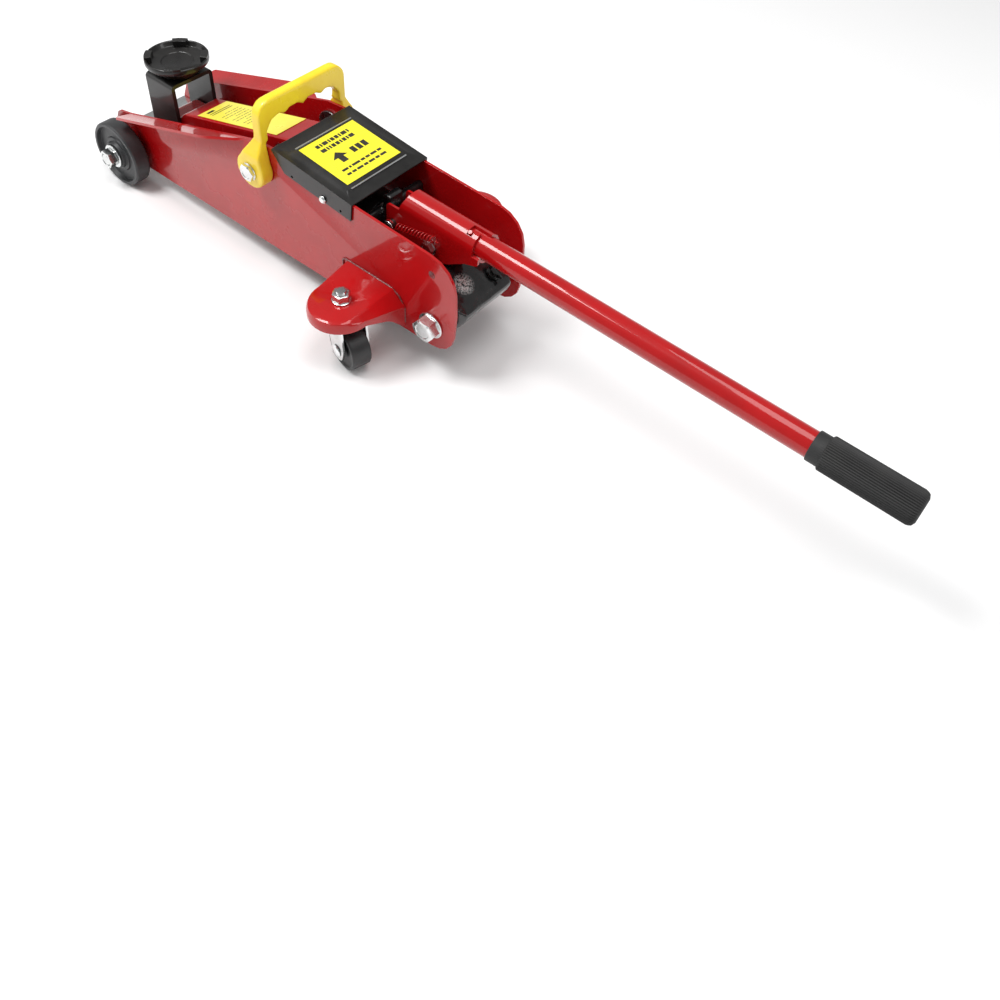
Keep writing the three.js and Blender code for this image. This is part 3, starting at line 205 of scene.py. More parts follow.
def finish(name, slot, base, shade, rough, metal=0.0, fine=900.0, clouds=25.0, bump=0.02,
           coarse=0.3, wear=0.0, worn=(0.5, 0.5, 0.5), worn_metal=1.0, dust=0.0, coat=0.0,
           mirror=0.5, radius=0.0008):
    """A Principled material; rough is (least, most), and bump is the grain's depth in mm."""
    material = bpy.data.materials.new(name)
    material["slot"] = slot
    material.use_nodes = True
    tree = material.node_tree
    shader = tree.nodes["Principled BSDF"]
    grain = put(tree, "Group", node_tree=GRAIN)
    for label, value in (("Fine Scale", fine), ("Cloud Scale", clouds), ("Coarse Share", coarse)):
        grain.inputs[label].default_value = value
    colour = blended(tree, grain.outputs["Clouds"], base, shade)
    gloss = ranged(tree, grain.outputs["Clouds"], 0.0, 1.0, *rough)
    if dust:
        settled = put(tree, "Group", node_tree=DUST)
        settled.inputs["Amount"].default_value = dust
        colour = blended(tree, settled.outputs[0], colour, DUST_COLOUR)
        dulling = math_of(tree, "MULTIPLY", settled.outputs[0], 0.5)
        gloss = math_of(tree, "ADD", gloss, dulling, clamp=True)
    if wear:
        rubbed = put(tree, "Group", node_tree=WEAR)
        rubbed.inputs["Cover"].default_value = wear
        rubbed.inputs["Radius"].default_value = radius
        colour = blended(tree, rubbed.outputs[0], colour, worn)
        if worn_metal != metal:
            metallic = ranged(tree, rubbed.outputs[0], 0.0, 1.0, metal, worn_metal)
            tree.links.new(metallic, shader.inputs["Metallic"])
    shader.inputs["Metallic"].default_value = metal
    shader.inputs["Coat Weight"].default_value = coat
    shader.inputs["Specular IOR Level"].default_value = mirror
    shader.inputs["Coat Roughness"].default_value = COAT_ROUGHNESS
    tree.links.new(colour, shader.inputs["Base Color"])
    tree.links.new(gloss, shader.inputs["Roughness"])
    relief = put(tree, "Bump", named={"Height": grain.outputs["Height"]})
    relief.inputs["Distance"].default_value = bump * MM
    relief.inputs["Strength"].default_value = 1.0
    tree.links.new(relief.outputs[0], shader.inputs["Normal"])
    return material

# %% [markdown]
# ### Paints
# The red is a glossy baked enamel: a deep colour under a clear gloss that mirrors the pale
# surroundings. The black on the cover, bracket and saddle is a thin satin coat that rubs
# through to steel on its edges.

# %% Red, black and casting
RED = finish("red enamel", "red_paint", (0.45, 0.0045, 0.006), (0.37, 0.003, 0.0042), (0.2, 0.34),
             fine=420.0, clouds=18.0, bump=0.012, wear=0.16, worn=(0.34, 0.02, 0.02), worn_metal=0.0,
             dust=0.01, coat=0.85, mirror=0.12)
# A darker red than the enamel. The weld round each wing's root takes it, and so does the cup in each tail hole,
# where it is painted shade.
DARK_RED = finish("darker red enamel", "red_paint", (0.20, 0.005, 0.006), (0.10, 0.004, 0.005), (0.25, 0.4),
              fine=700.0, clouds=300.0, bump=0.02, coat=0.5)
BLACK = finish("satin black", "black_paint", (0.0075, 0.007, 0.007), (0.012, 0.0115, 0.011), (0.26, 0.4),
               fine=1100.0, clouds=30.0, bump=0.012, wear=0.34, worn=(0.24, 0.24, 0.25), dust=0.02,
               coat=0.35, mirror=0.3)
CAST = finish("cast black", "cast_iron", (0.005, 0.005, 0.0055), (0.010, 0.010, 0.0105), (0.14, 0.3),
              fine=330.0, clouds=90.0, bump=0.07, coarse=0.9, wear=0.2, worn=(0.40, 0.40, 0.41),
              dust=0.02, coat=0.6, radius=0.0014)

# %% [markdown]
# Something has rubbed the casting's rear slope through to bright iron in one small patch. It is
# a ball of influence about a place on the slope, broken up by a coarse speckle.

# %% Scuff on the casting
def scuffed(material, place, reach, scale, bright):
    """Bares a patch of metal round a place, given in the frame in metres."""
    tree = material.node_tree
    shader = tree.nodes["Principled BSDF"]
    where = put(tree, "TexCoord").outputs["Object"]
    far = put(tree, "VectorMath", (where, place), operation="DISTANCE").outputs["Value"]
    near = ranged(tree, far, reach * 0.45, reach, 1.0, 0.0)
    speck = ranged(tree, noise_of(tree, where, scale, 5.0, 0.75), 0.46, 0.54)
    mask = math_of(tree, "MULTIPLY", near, speck)
    for name, high in (("Metallic", 1.0), ("Roughness", 0.38)):
        socket = shader.inputs[name]
        was = socket.links[0].from_socket if socket.is_linked else socket.default_value
        step = put(tree, "Mix", data_type="FLOAT")
        tree.links.new(mask, step.inputs[0])
        if isinstance(was, bpy.types.NodeSocket):
            tree.links.new(was, step.inputs[2])
        else:
            step.inputs[2].default_value = was
        step.inputs[3].default_value = high
        tree.links.new(step.outputs[0], socket)
    base = shader.inputs["Base Color"]
    tree.links.new(blended(tree, mask, base.links[0].from_socket, bright), base)


SCUFF_FROM_TAIL, SCUFF_LEFT, SCUFF_HEIGHT = 22 * MM, 10 * MM, 74 * MM
SCUFF_REACH = 11 * MM
SPECKLE_SCALE = 650.0
BRIGHT_IRON = (0.82, 0.82, 0.81)
_, unit_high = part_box("power_unit")
scuffed(CAST, (unit_high.x - SCUFF_FROM_TAIL, -SCUFF_LEFT, SCUFF_HEIGHT), SCUFF_REACH, SPECKLE_SCALE,
        BRIGHT_IRON)

# %% [markdown]
# ### Bare and plated metals
# Zinc plate is pale, slightly cloudy and soft in its shine. The pins are darker oiled steel,
# and the ram and plunger are ground and chromed, so only the finest grain stays on them.

# %% Metals
ZINC = finish("zinc plate", "zinc", (0.80, 0.82, 0.83), (0.68, 0.69, 0.68), (0.14, 0.26), metal=1.0,
              fine=1500.0, clouds=110.0, bump=0.002, wear=0.2, worn=(0.9, 0.9, 0.9), dust=0.02)
STEEL = finish("oiled steel", "dark_steel", (0.20, 0.195, 0.19), (0.12, 0.115, 0.11), (0.24, 0.42),
               metal=1.0, fine=1300.0, clouds=120.0, bump=0.01, wear=0.4, worn=(0.5, 0.5, 0.5),
               dust=0.08)
CHROME = finish("hard chrome", "chrome", (0.82, 0.83, 0.84), (0.74, 0.75, 0.76), (0.05, 0.12), metal=1.0,
                fine=2200.0, clouds=60.0, bump=0.002)

# %% [markdown]
# ### Plastics, rubber and print
# The wheels are a charcoal moulding with a faint leathery skin. The carry handle is a warm
# yellow moulding, soft in its shine. The grip is matt rubber.

# %% Plastics and rubber
WHEEL = finish("charcoal moulding", "wheel_plastic", (0.024, 0.025, 0.027), (0.036, 0.037, 0.039),
               (0.36, 0.5), fine=700.0, clouds=45.0, bump=0.03, wear=0.3, worn=(0.09, 0.09, 0.09),
               worn_metal=0.0, dust=0.03)
TYRE = finish("black tread", "wheel_plastic", (0.011, 0.011, 0.012), (0.018, 0.018, 0.018), (0.32, 0.5),
              fine=800.0, clouds=60.0, bump=0.03, wear=0.2, worn=(0.06, 0.06, 0.06), worn_metal=0.0,
              dust=0.03)
YELLOW = finish("yellow moulding", "yellow_plastic", (0.93, 0.70, 0.028), (0.88, 0.60, 0.018),
                (0.26, 0.38), fine=500.0, clouds=30.0, bump=0.015, wear=0.2,
                worn=(0.86, 0.68, 0.10), worn_metal=0.0, dust=0.03, coat=0.25)
RUBBER = finish("grip rubber", "rubber", (0.012, 0.012, 0.0125), (0.019, 0.019, 0.019), (0.55, 0.72),
                fine=900.0, clouds=50.0, bump=0.04, wear=0.3, worn=(0.045, 0.045, 0.045), worn_metal=0.0,
                dust=0.03)
STICKER = finish("cover sticker", "cover_label", (0.90, 0.83, 0.035), (0.87, 0.77, 0.028), (0.24, 0.34),
                 fine=600.0, clouds=30.0, bump=0.006, dust=0.02, coat=0.3)
PALE_STICKER = finish("arm sticker", "arm_label", (0.90, 0.80, 0.10), (0.86, 0.74, 0.07), (0.26, 0.38),
                      fine=600.0, clouds=30.0, bump=0.006, dust=0.02, coat=0.3)
INK = finish("printing ink", "cover_label", (0.016, 0.015, 0.014), (0.03, 0.028, 0.022), (0.4, 0.55),
             fine=1500.0, clouds=200.0, bump=0.003)
print("finishes:", len(bpy.data.materials))

# %% [markdown]
# ## Pieces
# A piece is a mesh with its finish that stands for a solid of the model and rides on the same
# body. Curved faces are shaded smooth, and only real edges stay sharp.

# %% Piece helpers
def linked(name, mesh, look, body, sharp=38.0):
    """A mesh as a piece on a body."""
    if "custom_normal" in mesh.attributes:
        mesh.attributes.remove(mesh.attributes["custom_normal"])
    mesh.materials.clear()
    mesh.materials.append(look)
    mesh.shade_smooth()
    mesh.set_sharp_from_angle(angle=math.radians(sharp))
    made = bpy.data.objects.new(name, mesh)
    bpy.context.scene.collection.objects.link(made)
    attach(made, body)
    return made


def trim(name, bm, look, node, sharp=38.0):
    """A mesh under construction becomes a piece on the body of a node."""
    bmesh.ops.recalc_face_normals(bm, faces=bm.faces)
    mesh = bpy.data.meshes.new(name)
    bm.to_mesh(mesh)
    bm.free()
    return linked(name, mesh, look, BODY_OF[node], sharp)


def piece(node, bm, look, sharp=38.0):
    """A mesh under construction becomes the piece that stands for a solid."""
    made = trim("finished_" + node, bm, look, node, sharp)
    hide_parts(node)
    return made


def middle(node):
    low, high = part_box(node)
    return (low + high) / 2


def welded(node):
    """A solid's own mesh, with shared corners joined and flat faces made whole."""
    bm = bmesh.new()
    bm.from_mesh(frame["nodes"][node].data)
    bmesh.ops.remove_doubles(bm, verts=bm.verts, dist=0.005 * MM)
    bmesh.ops.dissolve_limit(bm, angle_limit=math.radians(0.6), verts=bm.verts, edges=bm.edges)
    return bm

# %% [markdown]
# ### Pressed and turned pieces
# Pressed steel has no razor edges: the punch rolls one side and the paint rounds the rest.
# Each solid is already the right shape, so it needs only that rounding. A bevel modifier
# limited by angle finds the edges by itself and leaves the smooth fillets alone.

# %% Rolled edges
def roll_edges(made, width, steps=2, over=40.0):
    """Rounds each edge that turns by more than an angle, in degrees; width is in mm."""
    edge = made.modifiers.new("rolled edges", "BEVEL")
    edge.width = width * MM
    edge.segments = steps
    edge.limit_method = "ANGLE"
    edge.angle_limit = math.radians(over)
    edge.harden_normals = True


def rolled(node, look, width, steps=2):
    roll_edges(piece(node, welded(node), look), width, steps)


SIDES = ("left", "right")
ROLLED = [
    (RED, 0.6, ["side_plate_left", "side_plate_right", "caster_wing_left", "caster_wing_right"]),
    (RED, 0.45, ["yoke", "pump_handle", "bayonet_pin"]),
    (BLACK, 0.5, ["saddle_bracket", "cover_plate", "ram_cylinder", "release_valve"]),
    (ZINC, 0.4, ["front_cross_plate", "caster_fork_left", "caster_fork_right", "yoke_roller",
                 "caster_axle_left", "caster_axle_right", "cover_screw_left", "cover_screw_right"]),
    (STEEL, 0.5, ["arm_shaft", "crank_pin", "bracket_pin", "link_pin_front", "link_pin_rear_left",
                  "link_pin_rear_right", "level_link_left", "level_link_right", "tank_cap", "ram_head",
                  "yoke_pin", "saddle_stem"]),
    (CHROME, 0.5, ["ram_rod", "pump_plunger"]),
    (RUBBER, 0.8, ["filler_plug"]),
    (WHEEL, 0.5, ["front_wheel_left", "front_wheel_right"]),
    (TYRE, 0.6, ["caster_wheel_left", "caster_wheel_right"]),
]
for look, width, nodes in ROLLED:
    for node in nodes:
        rolled(node, look, width)
print("rolled pieces:", sum(len(nodes) for _, _, nodes in ROLLED))

# %% [markdown]
# ### Cast and moulded pieces
# The pump unit is a sand casting, the carry handle is a thick plastic moulding and the lift
# arm is a deep pressing with wide bends, so none of them has a true edge anywhere. A voxel
# remesh makes an even skin over the solid, a smoothing pass melts the edges, and for the
# casting a little noise sinks the skin here and there, as the sand did.

# %% Softened skins
def softened(node, look, voxel, rounds, lumps=0.0, size=8.0):
    """A solid's skin, evenly meshed and melted; lumps is the noise's height in mm."""
    source = bpy.data.objects.new("blank_" + node, frame["nodes"][node].data.copy())
    bpy.context.scene.collection.objects.link(source)
    skin = source.modifiers.new("skin", "REMESH")
    skin.mode = "VOXEL"
    skin.voxel_size = voxel * MM
    melt = source.modifiers.new("melt", "SMOOTH")
    melt.factor = 0.5
    melt.iterations = rounds
    bpy.context.view_layer.update()
    shown = source.evaluated_get(bpy.context.evaluated_depsgraph_get())
    mesh = bpy.data.meshes.new_from_object(shown)
    bpy.data.objects.remove(source)
    bm = bmesh.new()
    bm.from_mesh(mesh)
    bpy.data.meshes.remove(mesh)
    if lumps:
        bm.normal_update()
        for v in bm.verts:
            bulge = noise.fractal(v.co / (size * MM), 1.0, 2.0, 3) - 0.35
            v.co += v.normal * min(0.0, bulge) * lumps * MM
    return piece(node, bm, look, 80.0)


softened("power_unit", CAST, 1.3, 3, lumps=0.35, size=9.0)
softened("carry_handle", YELLOW, 0.9, 14)
softened("lift_arm", RED, 1.0, 12)

# %% [markdown]
# ### Saddle
# The saddle is a forged cup: a thin rim, a deep step inside it, a shallow worn middle and four
# lugs that stand over the rim to bite on the car's lifting point. The cup is turned from one
# profile, and each lug is a short curved block with rounded edges.
# A turned mesh is a profile carried round an axis, and the bolts and the grip use it too.

# %% Turned meshes
def spun(bm, profile, place, axis, turns=48, rule=None, closed=False):
    """Adds a turned shape: profile is (radius, height) in mm along an axis through a place."""
    up = Vector(axis).normalized()
    side = up.orthogonal().normalized()
    other = up.cross(side)
    rings = []
    for radius, height in profile:
        ring = []
        for step in range(turns):
            angle = 2 * math.pi * step / turns
            r, h = rule(angle, radius, height) if rule else (radius, height)
            out = side * math.cos(angle) + other * math.sin(angle)
            ring.append(bm.verts.new(place + (out * r + up * h) * MM))
        rings.append(ring)
    pairs = list(zip(rings, rings[1:]))
    if closed:
        pairs.append((rings[-1], rings[0]))
    for near, far in pairs:
        for i in range(turns):
            j = (i + 1) % turns
            bm.faces.new((near[i], near[j], far[j], far[i]))
    bmesh.ops.remove_doubles(bm, verts=bm.verts, dist=1e-6)

# %% Saddle cup and lugs
def arc_block(bm, place, inner, outer, low, high, start, end, steps=8):
    """A block bent round a vertical axis, with radii and heights in mm and angles in radians."""
    columns = []
    for step in range(steps + 1):
        angle = start + (end - start) * step / steps
        out = Vector((math.cos(angle), math.sin(angle), 0))
        corners = ((inner, low), (outer, low), (outer, high), (inner, high))
        columns.append([bm.verts.new(place + out * r * MM + Vector((0, 0, h * MM))) for r, h in corners])
    for near, far in zip(columns, columns[1:]):
        for k in range(4):
            j = (k + 1) % 4
            bm.faces.new((near[k], near[j], far[j], far[k]))
    bm.faces.new(columns[0])
    bm.faces.new(list(reversed(columns[-1])))


LUG_RISE = 1.6  # the lugs stand this far over the rim, in mm
LUG_HALF_ANGLE = 0.26


def saddle():
    low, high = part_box("saddle")
    axis = middle("saddle")
    axis.z = 0
    top, foot = high.z / MM - LUG_RISE, low.z / MM
    r = (high.x - low.x) / 2 / MM
    bm = bmesh.new()
    cup = [(7.3, foot), (18.6, foot), (19.4, foot + 0.4), (20.5, foot + 1.5), (r - 2, top - 7),
           (r - 0.4, top - 5.6), (r, top - 4.8), (r, top - 1), (r - 0.4, top - 0.3), (r - 1, top),
           (r - 1.7, top - 0.3), (r - 2.4, top - 1.2), (r - 3.2, top - 4.4), (r - 4.2, top - 5.2),
           (16.4, top - 5.4), (15.6, top - 5.7), (15, top - 6.6), (14, top - 6.9), (0, top - 7.2)]
    stem_hole = [(0, top - 9), (7.3, top - 9), (7.3, foot)]
    spun(bm, cup + stem_hole, axis, (0, 0, 1), 96)
    for quarter in range(4):
        turn = math.pi / 4 + quarter * math.pi / 2
        arc_block(bm, axis, r - 7.2, r - 0.2, top - 5.5, top + LUG_RISE - 0.02,
                  turn - LUG_HALF_ANGLE, turn + LUG_HALF_ANGLE)
    roll_edges(piece("saddle", bm, BLACK), 0.6, over=50.0)


saddle()

# %% [markdown]
# ### Bolts
# A forged hexagon head is a hexagon whose top corners a cone has turned off. In a ring of
# points round the axis, that is one radius rule for the flats and one height rule for the
# cone, so heads of any size come from one function. The shank's end is a cut thread.

# %% Hexagon rule, threads and bolts
def hexagonal(flats, top, turn=0.0):
    """The rule of a hexagon head: wide points follow the flats, and a cone trims the top."""
    apothem = flats / 2
    kept = apothem * 0.95

    def rule(angle, radius, height):
        if radius <= kept:
            return radius, height
        off = (angle - turn) % (math.pi / 3) - math.pi / 6
        reach = apothem / math.cos(off)
        drop = (reach - kept) * math.tan(math.radians(30))
        return reach, top - drop if height >= top - 0.01 else height

    return rule


def threaded(bm, radius, start, end, place, axis):
    """A thread drawn as rings of grooves, a millimetre apart."""
    profile = [(0, start), (radius, start)]
    height = start
    while height + 1.0 < end - 0.4:
        profile += [(radius, height + 0.35), (radius - 0.45, height + 0.7), (radius, height + 1.0)]
        height += 1.0
    profile += [(radius, end - 0.5), (radius - 0.6, end), (0, end)]
    spun(bm, profile, place, axis, 32)


def bolt(node, axis, flats, height, flange, washer, thread=0.0, stand=0.0, length=0.0, turn=0.0,
         nut=0.0):
    """A hexagon bolt, or a nut with that bore: its outer end is the solid's own along the axis."""
    bm = bmesh.new()
    low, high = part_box(node)
    out = Vector(axis)
    end = max(low.dot(out), high.dot(out)) / MM
    centre = (low + high) / 2
    centre -= out * centre.dot(out)
    seat = end - stand - height - washer
    if nut:
        top = seat + height
        profile = [(nut, seat), (flats * 0.45, seat), (flats, seat + 0.02), (flats, top),
                   (flats * 0.46, top), (nut + 0.6, top), (nut, top - 0.6)]
        spun(bm, profile, centre, out, 72, hexagonal(flats, top, turn), closed=True)
    else:
        ring = [(0, seat), (flange - 0.3, seat), (flange, seat + 0.3), (flange, seat + washer - 0.3),
                (flange - 0.5, seat + washer), (0, seat + washer)]
        spun(bm, ring, centre, out, 48)
        foot = seat + washer - 0.2
        top = seat + washer + height
        dish = [(0, foot), (flats, foot), (flats, top), (flats * 0.47, top), (flats * 0.36, top)]
        dish += [(flats * 0.33, top - 0.5), (0, top - 0.5)]
        spun(bm, dish, centre, out, 72, hexagonal(flats, top, turn))
        if stand:
            threaded(bm, thread, top - 1, end, centre, out)
        shank = [(0, seat - length), (thread, seat - length), (thread, seat + 0.2), (0, seat + 0.2)]
        spun(bm, shank, centre, out, 24)
    piece(node, bm, ZINC, 28.0)

# %% [markdown]
# The unit bolts are the largest, at the tail. The carry bolts hold the yellow handle and the
# arm's shaft. Each caster has a nut on its swivel bolt, and the axle ends in nuts.

# %% Every bolt and nut
OUTWARD = {"left": (0, -1, 0), "right": (0, 1, 0)}
AXLE_BORE = 6.3


def axle_washer(node):
    low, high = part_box(node)
    thick = (high.y - low.y) / MM
    rim = (high.x - low.x) / 2 / MM
    profile = [(AXLE_BORE, 0), (rim - 0.4, 0), (rim, 0.4), (rim, thick - 0.4), (rim - 0.5, thick),
               (AXLE_BORE + 0.3, thick)]
    inner = middle(node)
    inner.y = low.y
    bm = bmesh.new()
    spun(bm, profile, inner, (0, 1, 0), 64, closed=True)
    piece(node, bm, ZINC)


for side in SIDES:
    out = OUTWARD[side]
    bolt("unit_bolt_" + side, out, 20, 10, 12.6, 1.6, thread=6, length=22, turn=0.15)
    bolt("carry_bolt_" + side, out, 15, 3.4, 8.6, 0.8, thread=5, length=28, turn=0.35)
    bolt("yoke_bolt_" + side, out, 11.5, 5, 7, 1, thread=4, length=11, turn=0.4)
    bolt("caster_bolt_" + side, (0, 0, 1), 14, 7, 8.4, 1.2, thread=4.5, stand=1.8, length=6.5, turn=0.3)
    bolt("axle_nut_" + side, out, 17, 8.4, 0, 0, turn=0.2, nut=AXLE_BORE)
    axle_washer("axle_washer_" + side)
print("bolts and nuts made")

# %% [markdown]
# ### Front axle
# The axle runs right through. Its ends are threaded and show inside the nuts.

# %% Axle
THREAD_LENGTH = 14


def axle():
    low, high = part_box("front_axle")
    centre = (low + high) / 2
    radius = (high.x - low.x) / 2 / MM
    half = (high.y - low.y) / 2 / MM
    plain = half - THREAD_LENGTH
    bm = bmesh.new()
    spun(bm, [(0, -plain), (radius, -plain), (radius, plain), (0, plain)], centre, (0, 1, 0), 48)
    for side in SIDES[::-1]:
        threaded(bm, radius, plain, half, centre, OUTWARD[side])
    piece("front_axle", bm, ZINC)


axle()

# %% [markdown]
# ### Grip
# The rubber grip is moulded with fine ribs along it and a smooth collar at its mouth. The
# ribs are real ridges in the mesh, so that they catch the light and end in a ragged ring.

# %% Ribbed grip
def grip():
    low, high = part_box("handle_grip")
    out = Vector(JOINTS["handle_twist"]["axis"])
    if out.x < 0:
        out.negate()
    pivot = Vector(JOINTS["handle_twist"]["pos_m"])
    start = (low.x - pivot.x) / out.x / MM + 0.3
    end = (high.x - pivot.x) / out.x / MM - 0.3
    collar, thick, bore = 11.8, 13.5, 10.8
    ribs = 46
    profile = [(bore, start), (collar - 0.4, start), (collar, start + 0.5), (collar, start + 9),
               (thick - 0.9, start + 9.3), (thick - 0.2, start + 9.9), (thick, start + 10.8)]
    profile += [(thick, start + 10.8 + (end - start - 15.6) * i / 6) for i in range(1, 7)]
    profile += [(thick - 0.5, end - 3), (thick - 1.5, end - 1.3), (thick - 4.4, end), (6, end),
                (0, end - 0.4)]

    def ridge(angle, radius, height):
        if radius < thick - 1.6 or height < start + 9.2:
            return radius, height
        wave = 0.5 + 0.5 * math.cos(ribs * angle)
        return radius - 0.75 * (1 - wave ** 0.6), height

    bm = bmesh.new()
    spun(bm, profile, pivot, out, ribs * 6, ridge)
    bmesh.ops.holes_fill(bm, edges=bm.edges)
    piece("handle_grip", bm, RUBBER, 50.0)


grip()
print("grip made")

# %% [markdown]
# ### Springs
# Two light coil springs pull the yoke back, in the yoke's own red enamel. A round wire swept
# along a helix is what a coiling machine makes, so the mesh is made in the same way: an eye
# round the front pin, the coils, and a short tail at the yoke's bolt.

# %% Spring sweep
def swept(bm, path, radius, sides=8):
    """A round wire along points, with closed ends."""
    rings = []
    first = (path[1] - path[0]).normalized()
    up = Vector((0, 0, 1)) if abs(first.y) > 0.9 else Vector((0, 1, 0))
    for i, point in enumerate(path):
        ahead = (path[min(i + 1, len(path) - 1)] - path[max(i - 1, 0)]).normalized()
        up = (up - ahead * up.dot(ahead)).normalized()
        across = ahead.cross(up)
        turns = [2 * math.pi * k / sides for k in range(sides)]
        spokes = [up * math.cos(turn) + across * math.sin(turn) for turn in turns]
        rings.append([bm.verts.new(point + spoke * radius) for spoke in spokes])
    for near, far in zip(rings, rings[1:]):
        for k in range(sides):
            j = (k + 1) % sides
            bm.faces.new((near[k], near[j], far[j], far[k]))
    bm.faces.new(rings[0])
    bm.faces.new(list(reversed(rings[-1])))


WIRE = 0.55 * MM
COILS, STEPS = 12, 16


def spring(node):
    low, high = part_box(node)
    pin = middle("yoke_pin")
    coil = (high.y - low.y) / 2 - WIRE
    y = (low.y + high.y) / 2
    first = Vector((pin.x + 8.6 * MM, y, pin.z + 3.4 * MM))
    last = Vector((high.x - 8.5 * MM, y, high.z - 3.5 * MM))
    along = (last - first).normalized()
    over = Vector((-along.z, 0, along.x))
    eye = 4.95 * MM
    path = [
        Vector((pin.x + eye * math.cos(a), y, pin.z + eye * math.sin(a)))
        for a in (0.9 + 5.0 * step / 12 for step in range(13))
    ]
    for step in range(COILS * STEPS + 1):
        turn = 2 * math.pi * step / STEPS - math.pi / 2
        at = first.lerp(last, step / (COILS * STEPS))
        path.append(at + over * coil * math.sin(turn) + Vector((0, -coil * math.cos(turn), 0)))
    path += [last + along * 2 * MM - over * 1.0 * MM, last + along * 4 * MM - over * 1.2 * MM]
    bm = bmesh.new()
    swept(bm, path, WIRE)
    piece(node, bm, RED, 60.0)


for side in SIDES:
    spring("yoke_spring_" + side)

# %% Rings on the front pin
RING_RADIUS, RING_WIRE = 4.7, 0.75


def pin_ring(side):
    """The plated ring that keeps a spring's eye on the end of the front pin."""
    low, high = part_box("yoke_pin")
    end = low.y if side == "left" else high.y
    place = (low + high) / 2
    place.y = end - OUTWARD[side][1] * 1.0 * MM
    turns = [2 * math.pi * k / 10 for k in range(10)]
    section = [(RING_RADIUS + RING_WIRE * math.cos(a), RING_WIRE * math.sin(a)) for a in turns]
    bm = bmesh.new()
    spun(bm, section, place, (0, 1, 0), 36, closed=True)
    trim("pin_ring_" + side, bm, ZINC, "yoke_pin")


for side in SIDES:
    pin_ring(side)
print("springs and pin rings made")

# %% [markdown]
# ### Stickers
# The cover carries a lemon sticker and the arm a paler one. What is printed on them is plain:
# blocks for lines of print and a bold lift arrow. Each block is a thin slab of ink that stands
# a hair above the sticker's face, so it needs no lettering.

# %% Sticker faces
STICKER_SHEET = 0.3 * MM


def plane_of(node, falls):
    """A sloping sticker's top face: the middle of its front edge, and the way up or down it."""
    low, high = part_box(node)
    foot = low.z + STICKER_SHEET
    ends = (high.z, foot) if falls else (foot, high.z)
    start, end = Vector((low.x, 0, ends[0])), Vector((high.x, 0, ends[1]))
    return start, (end - start).normalized()


INK_LAYERS = (-0.1, 0.04)  # the slab's foot and face, in mm from the sticker's face


def printed(bm, plane, outline_points):
    """Adds a flat closed slab on a sticker, from (along, across) points in mm."""
    start, along = plane
    normal = along.cross(Vector((0, 1, 0)))
    if normal.z < 0:
        normal.negate()
    layers = []
    for lift in INK_LAYERS:
        layers.append([
            bm.verts.new(start + along * a * MM + Vector((0, b * MM, 0)) + normal * lift * MM)
            for a, b in outline_points
        ])
    low, high = layers
    bm.faces.new(low)
    bm.faces.new(list(reversed(high)))
    for i in range(len(low)):
        j = (i + 1) % len(low)
        bm.faces.new((low[i], high[i], high[j], low[j]))


def block(a0, a1, b0, b1):
    return [(a0, b0), (a1, b0), (a1, b1), (a0, b1)]


def words(bm, plane, a0, a1, b0, b1, lengths, gap=1.1):
    """A line of print: a row of blocks of given lengths, spread from b0 to b1."""
    scale = (b1 - b0 - gap * (len(lengths) - 1)) / sum(lengths)
    at = b0
    for length in lengths:
        printed(bm, plane, block(a0, a1, at, at + length * scale))
        at += length * scale + gap

# %% Both stickers
rolled("cover_label", STICKER, 0.1, 1)
rolled("arm_label", PALE_STICKER, 0.1, 1)
cover_face = plane_of("cover_label", falls=True)
cover_ink = bmesh.new()
words(cover_ink, cover_face, 5.6, 9.8, -19, 19, (2, 1, 3, 1, 2, 2, 1, 3, 1))
words(cover_ink, cover_face, 12.4, 16.6, -19, 19, (3, 1, 1, 2, 2, 1, 2, 1, 3))
arrow = [(22, -11), (29.5, -19), (29.5, -14.2), (36.5, -14.2), (36.5, -7.8), (29.5, -7.8), (29.5, -3)]
printed(cover_ink, cover_face, arrow)
words(cover_ink, cover_face, 25.5, 33, 2, 20, (3, 3, 3), 1.6)
words(cover_ink, cover_face, 42.6, 45.2, -23, 23, (3, 1, 4, 2, 2, 3, 2), 1.3)
words(cover_ink, cover_face, 48.8, 51.4, -23, 23, (2, 2, 3, 2, 3, 2, 3), 1.3)
arm_face = plane_of("arm_label", falls=False)
arm_ink = bmesh.new()
LINES, LINE_START, LINE_PITCH = 9, 26, 5.6
for row in range(LINES):
    start = LINE_START + row * LINE_PITCH
    words(arm_ink, arm_face, start, start + 1.0, -12 if row % 3 else -4, 12, (3, 4, 2, 5, 3), 0.9)
printed(arm_ink, arm_face, block(5, 9, -11, -3))
printed(arm_ink, arm_face, block(12, 13.4, -12, 12))
printed(arm_ink, arm_face, block(16, 17.4, -12, 12))

trim("cover_print", cover_ink, INK, "cover_label")
trim("arm_print", arm_ink, INK, "arm_label")
print("stickers printed")

# %% [markdown]
# ### Highlight bars on the cover
# The cover's raised field shows a bright line along its front and rear bevels. These are painted
# highlights: each is a low rounded bar of bright zinc lying in the bevel.

# %% Bars that paint highlights on the cover
HIGHLIGHT_BAR_RADIUS, HIGHLIGHT_BAR_HALF, HIGHLIGHT_BAR_SUNK = 0.8 * MM, 33 * MM, 0.5 * MM


def highlight_bar(name, distance):
    """A bright zinc bar across the cover that paints a highlight, at a distance in mm along the sticker's face."""
    start, along = cover_face
    edge = start + along * distance * MM
    edge.z -= HIGHLIGHT_BAR_SUNK
    path = [edge + Vector((0, y * HIGHLIGHT_BAR_HALF, 0)) for y in (-1, -0.985, -0.5, 0, 0.5, 0.985, 1)]
    bm = bmesh.new()
    swept(bm, path, HIGHLIGHT_BAR_RADIUS, 10)
    # The bright zinc bar is a painted highlight on the bevel.
    trim(name, bm, ZINC, "cover_plate")


highlight_bar("cover_highlight_bar_front", -3.2)
highlight_bar("cover_highlight_bar_rear", 64.2)
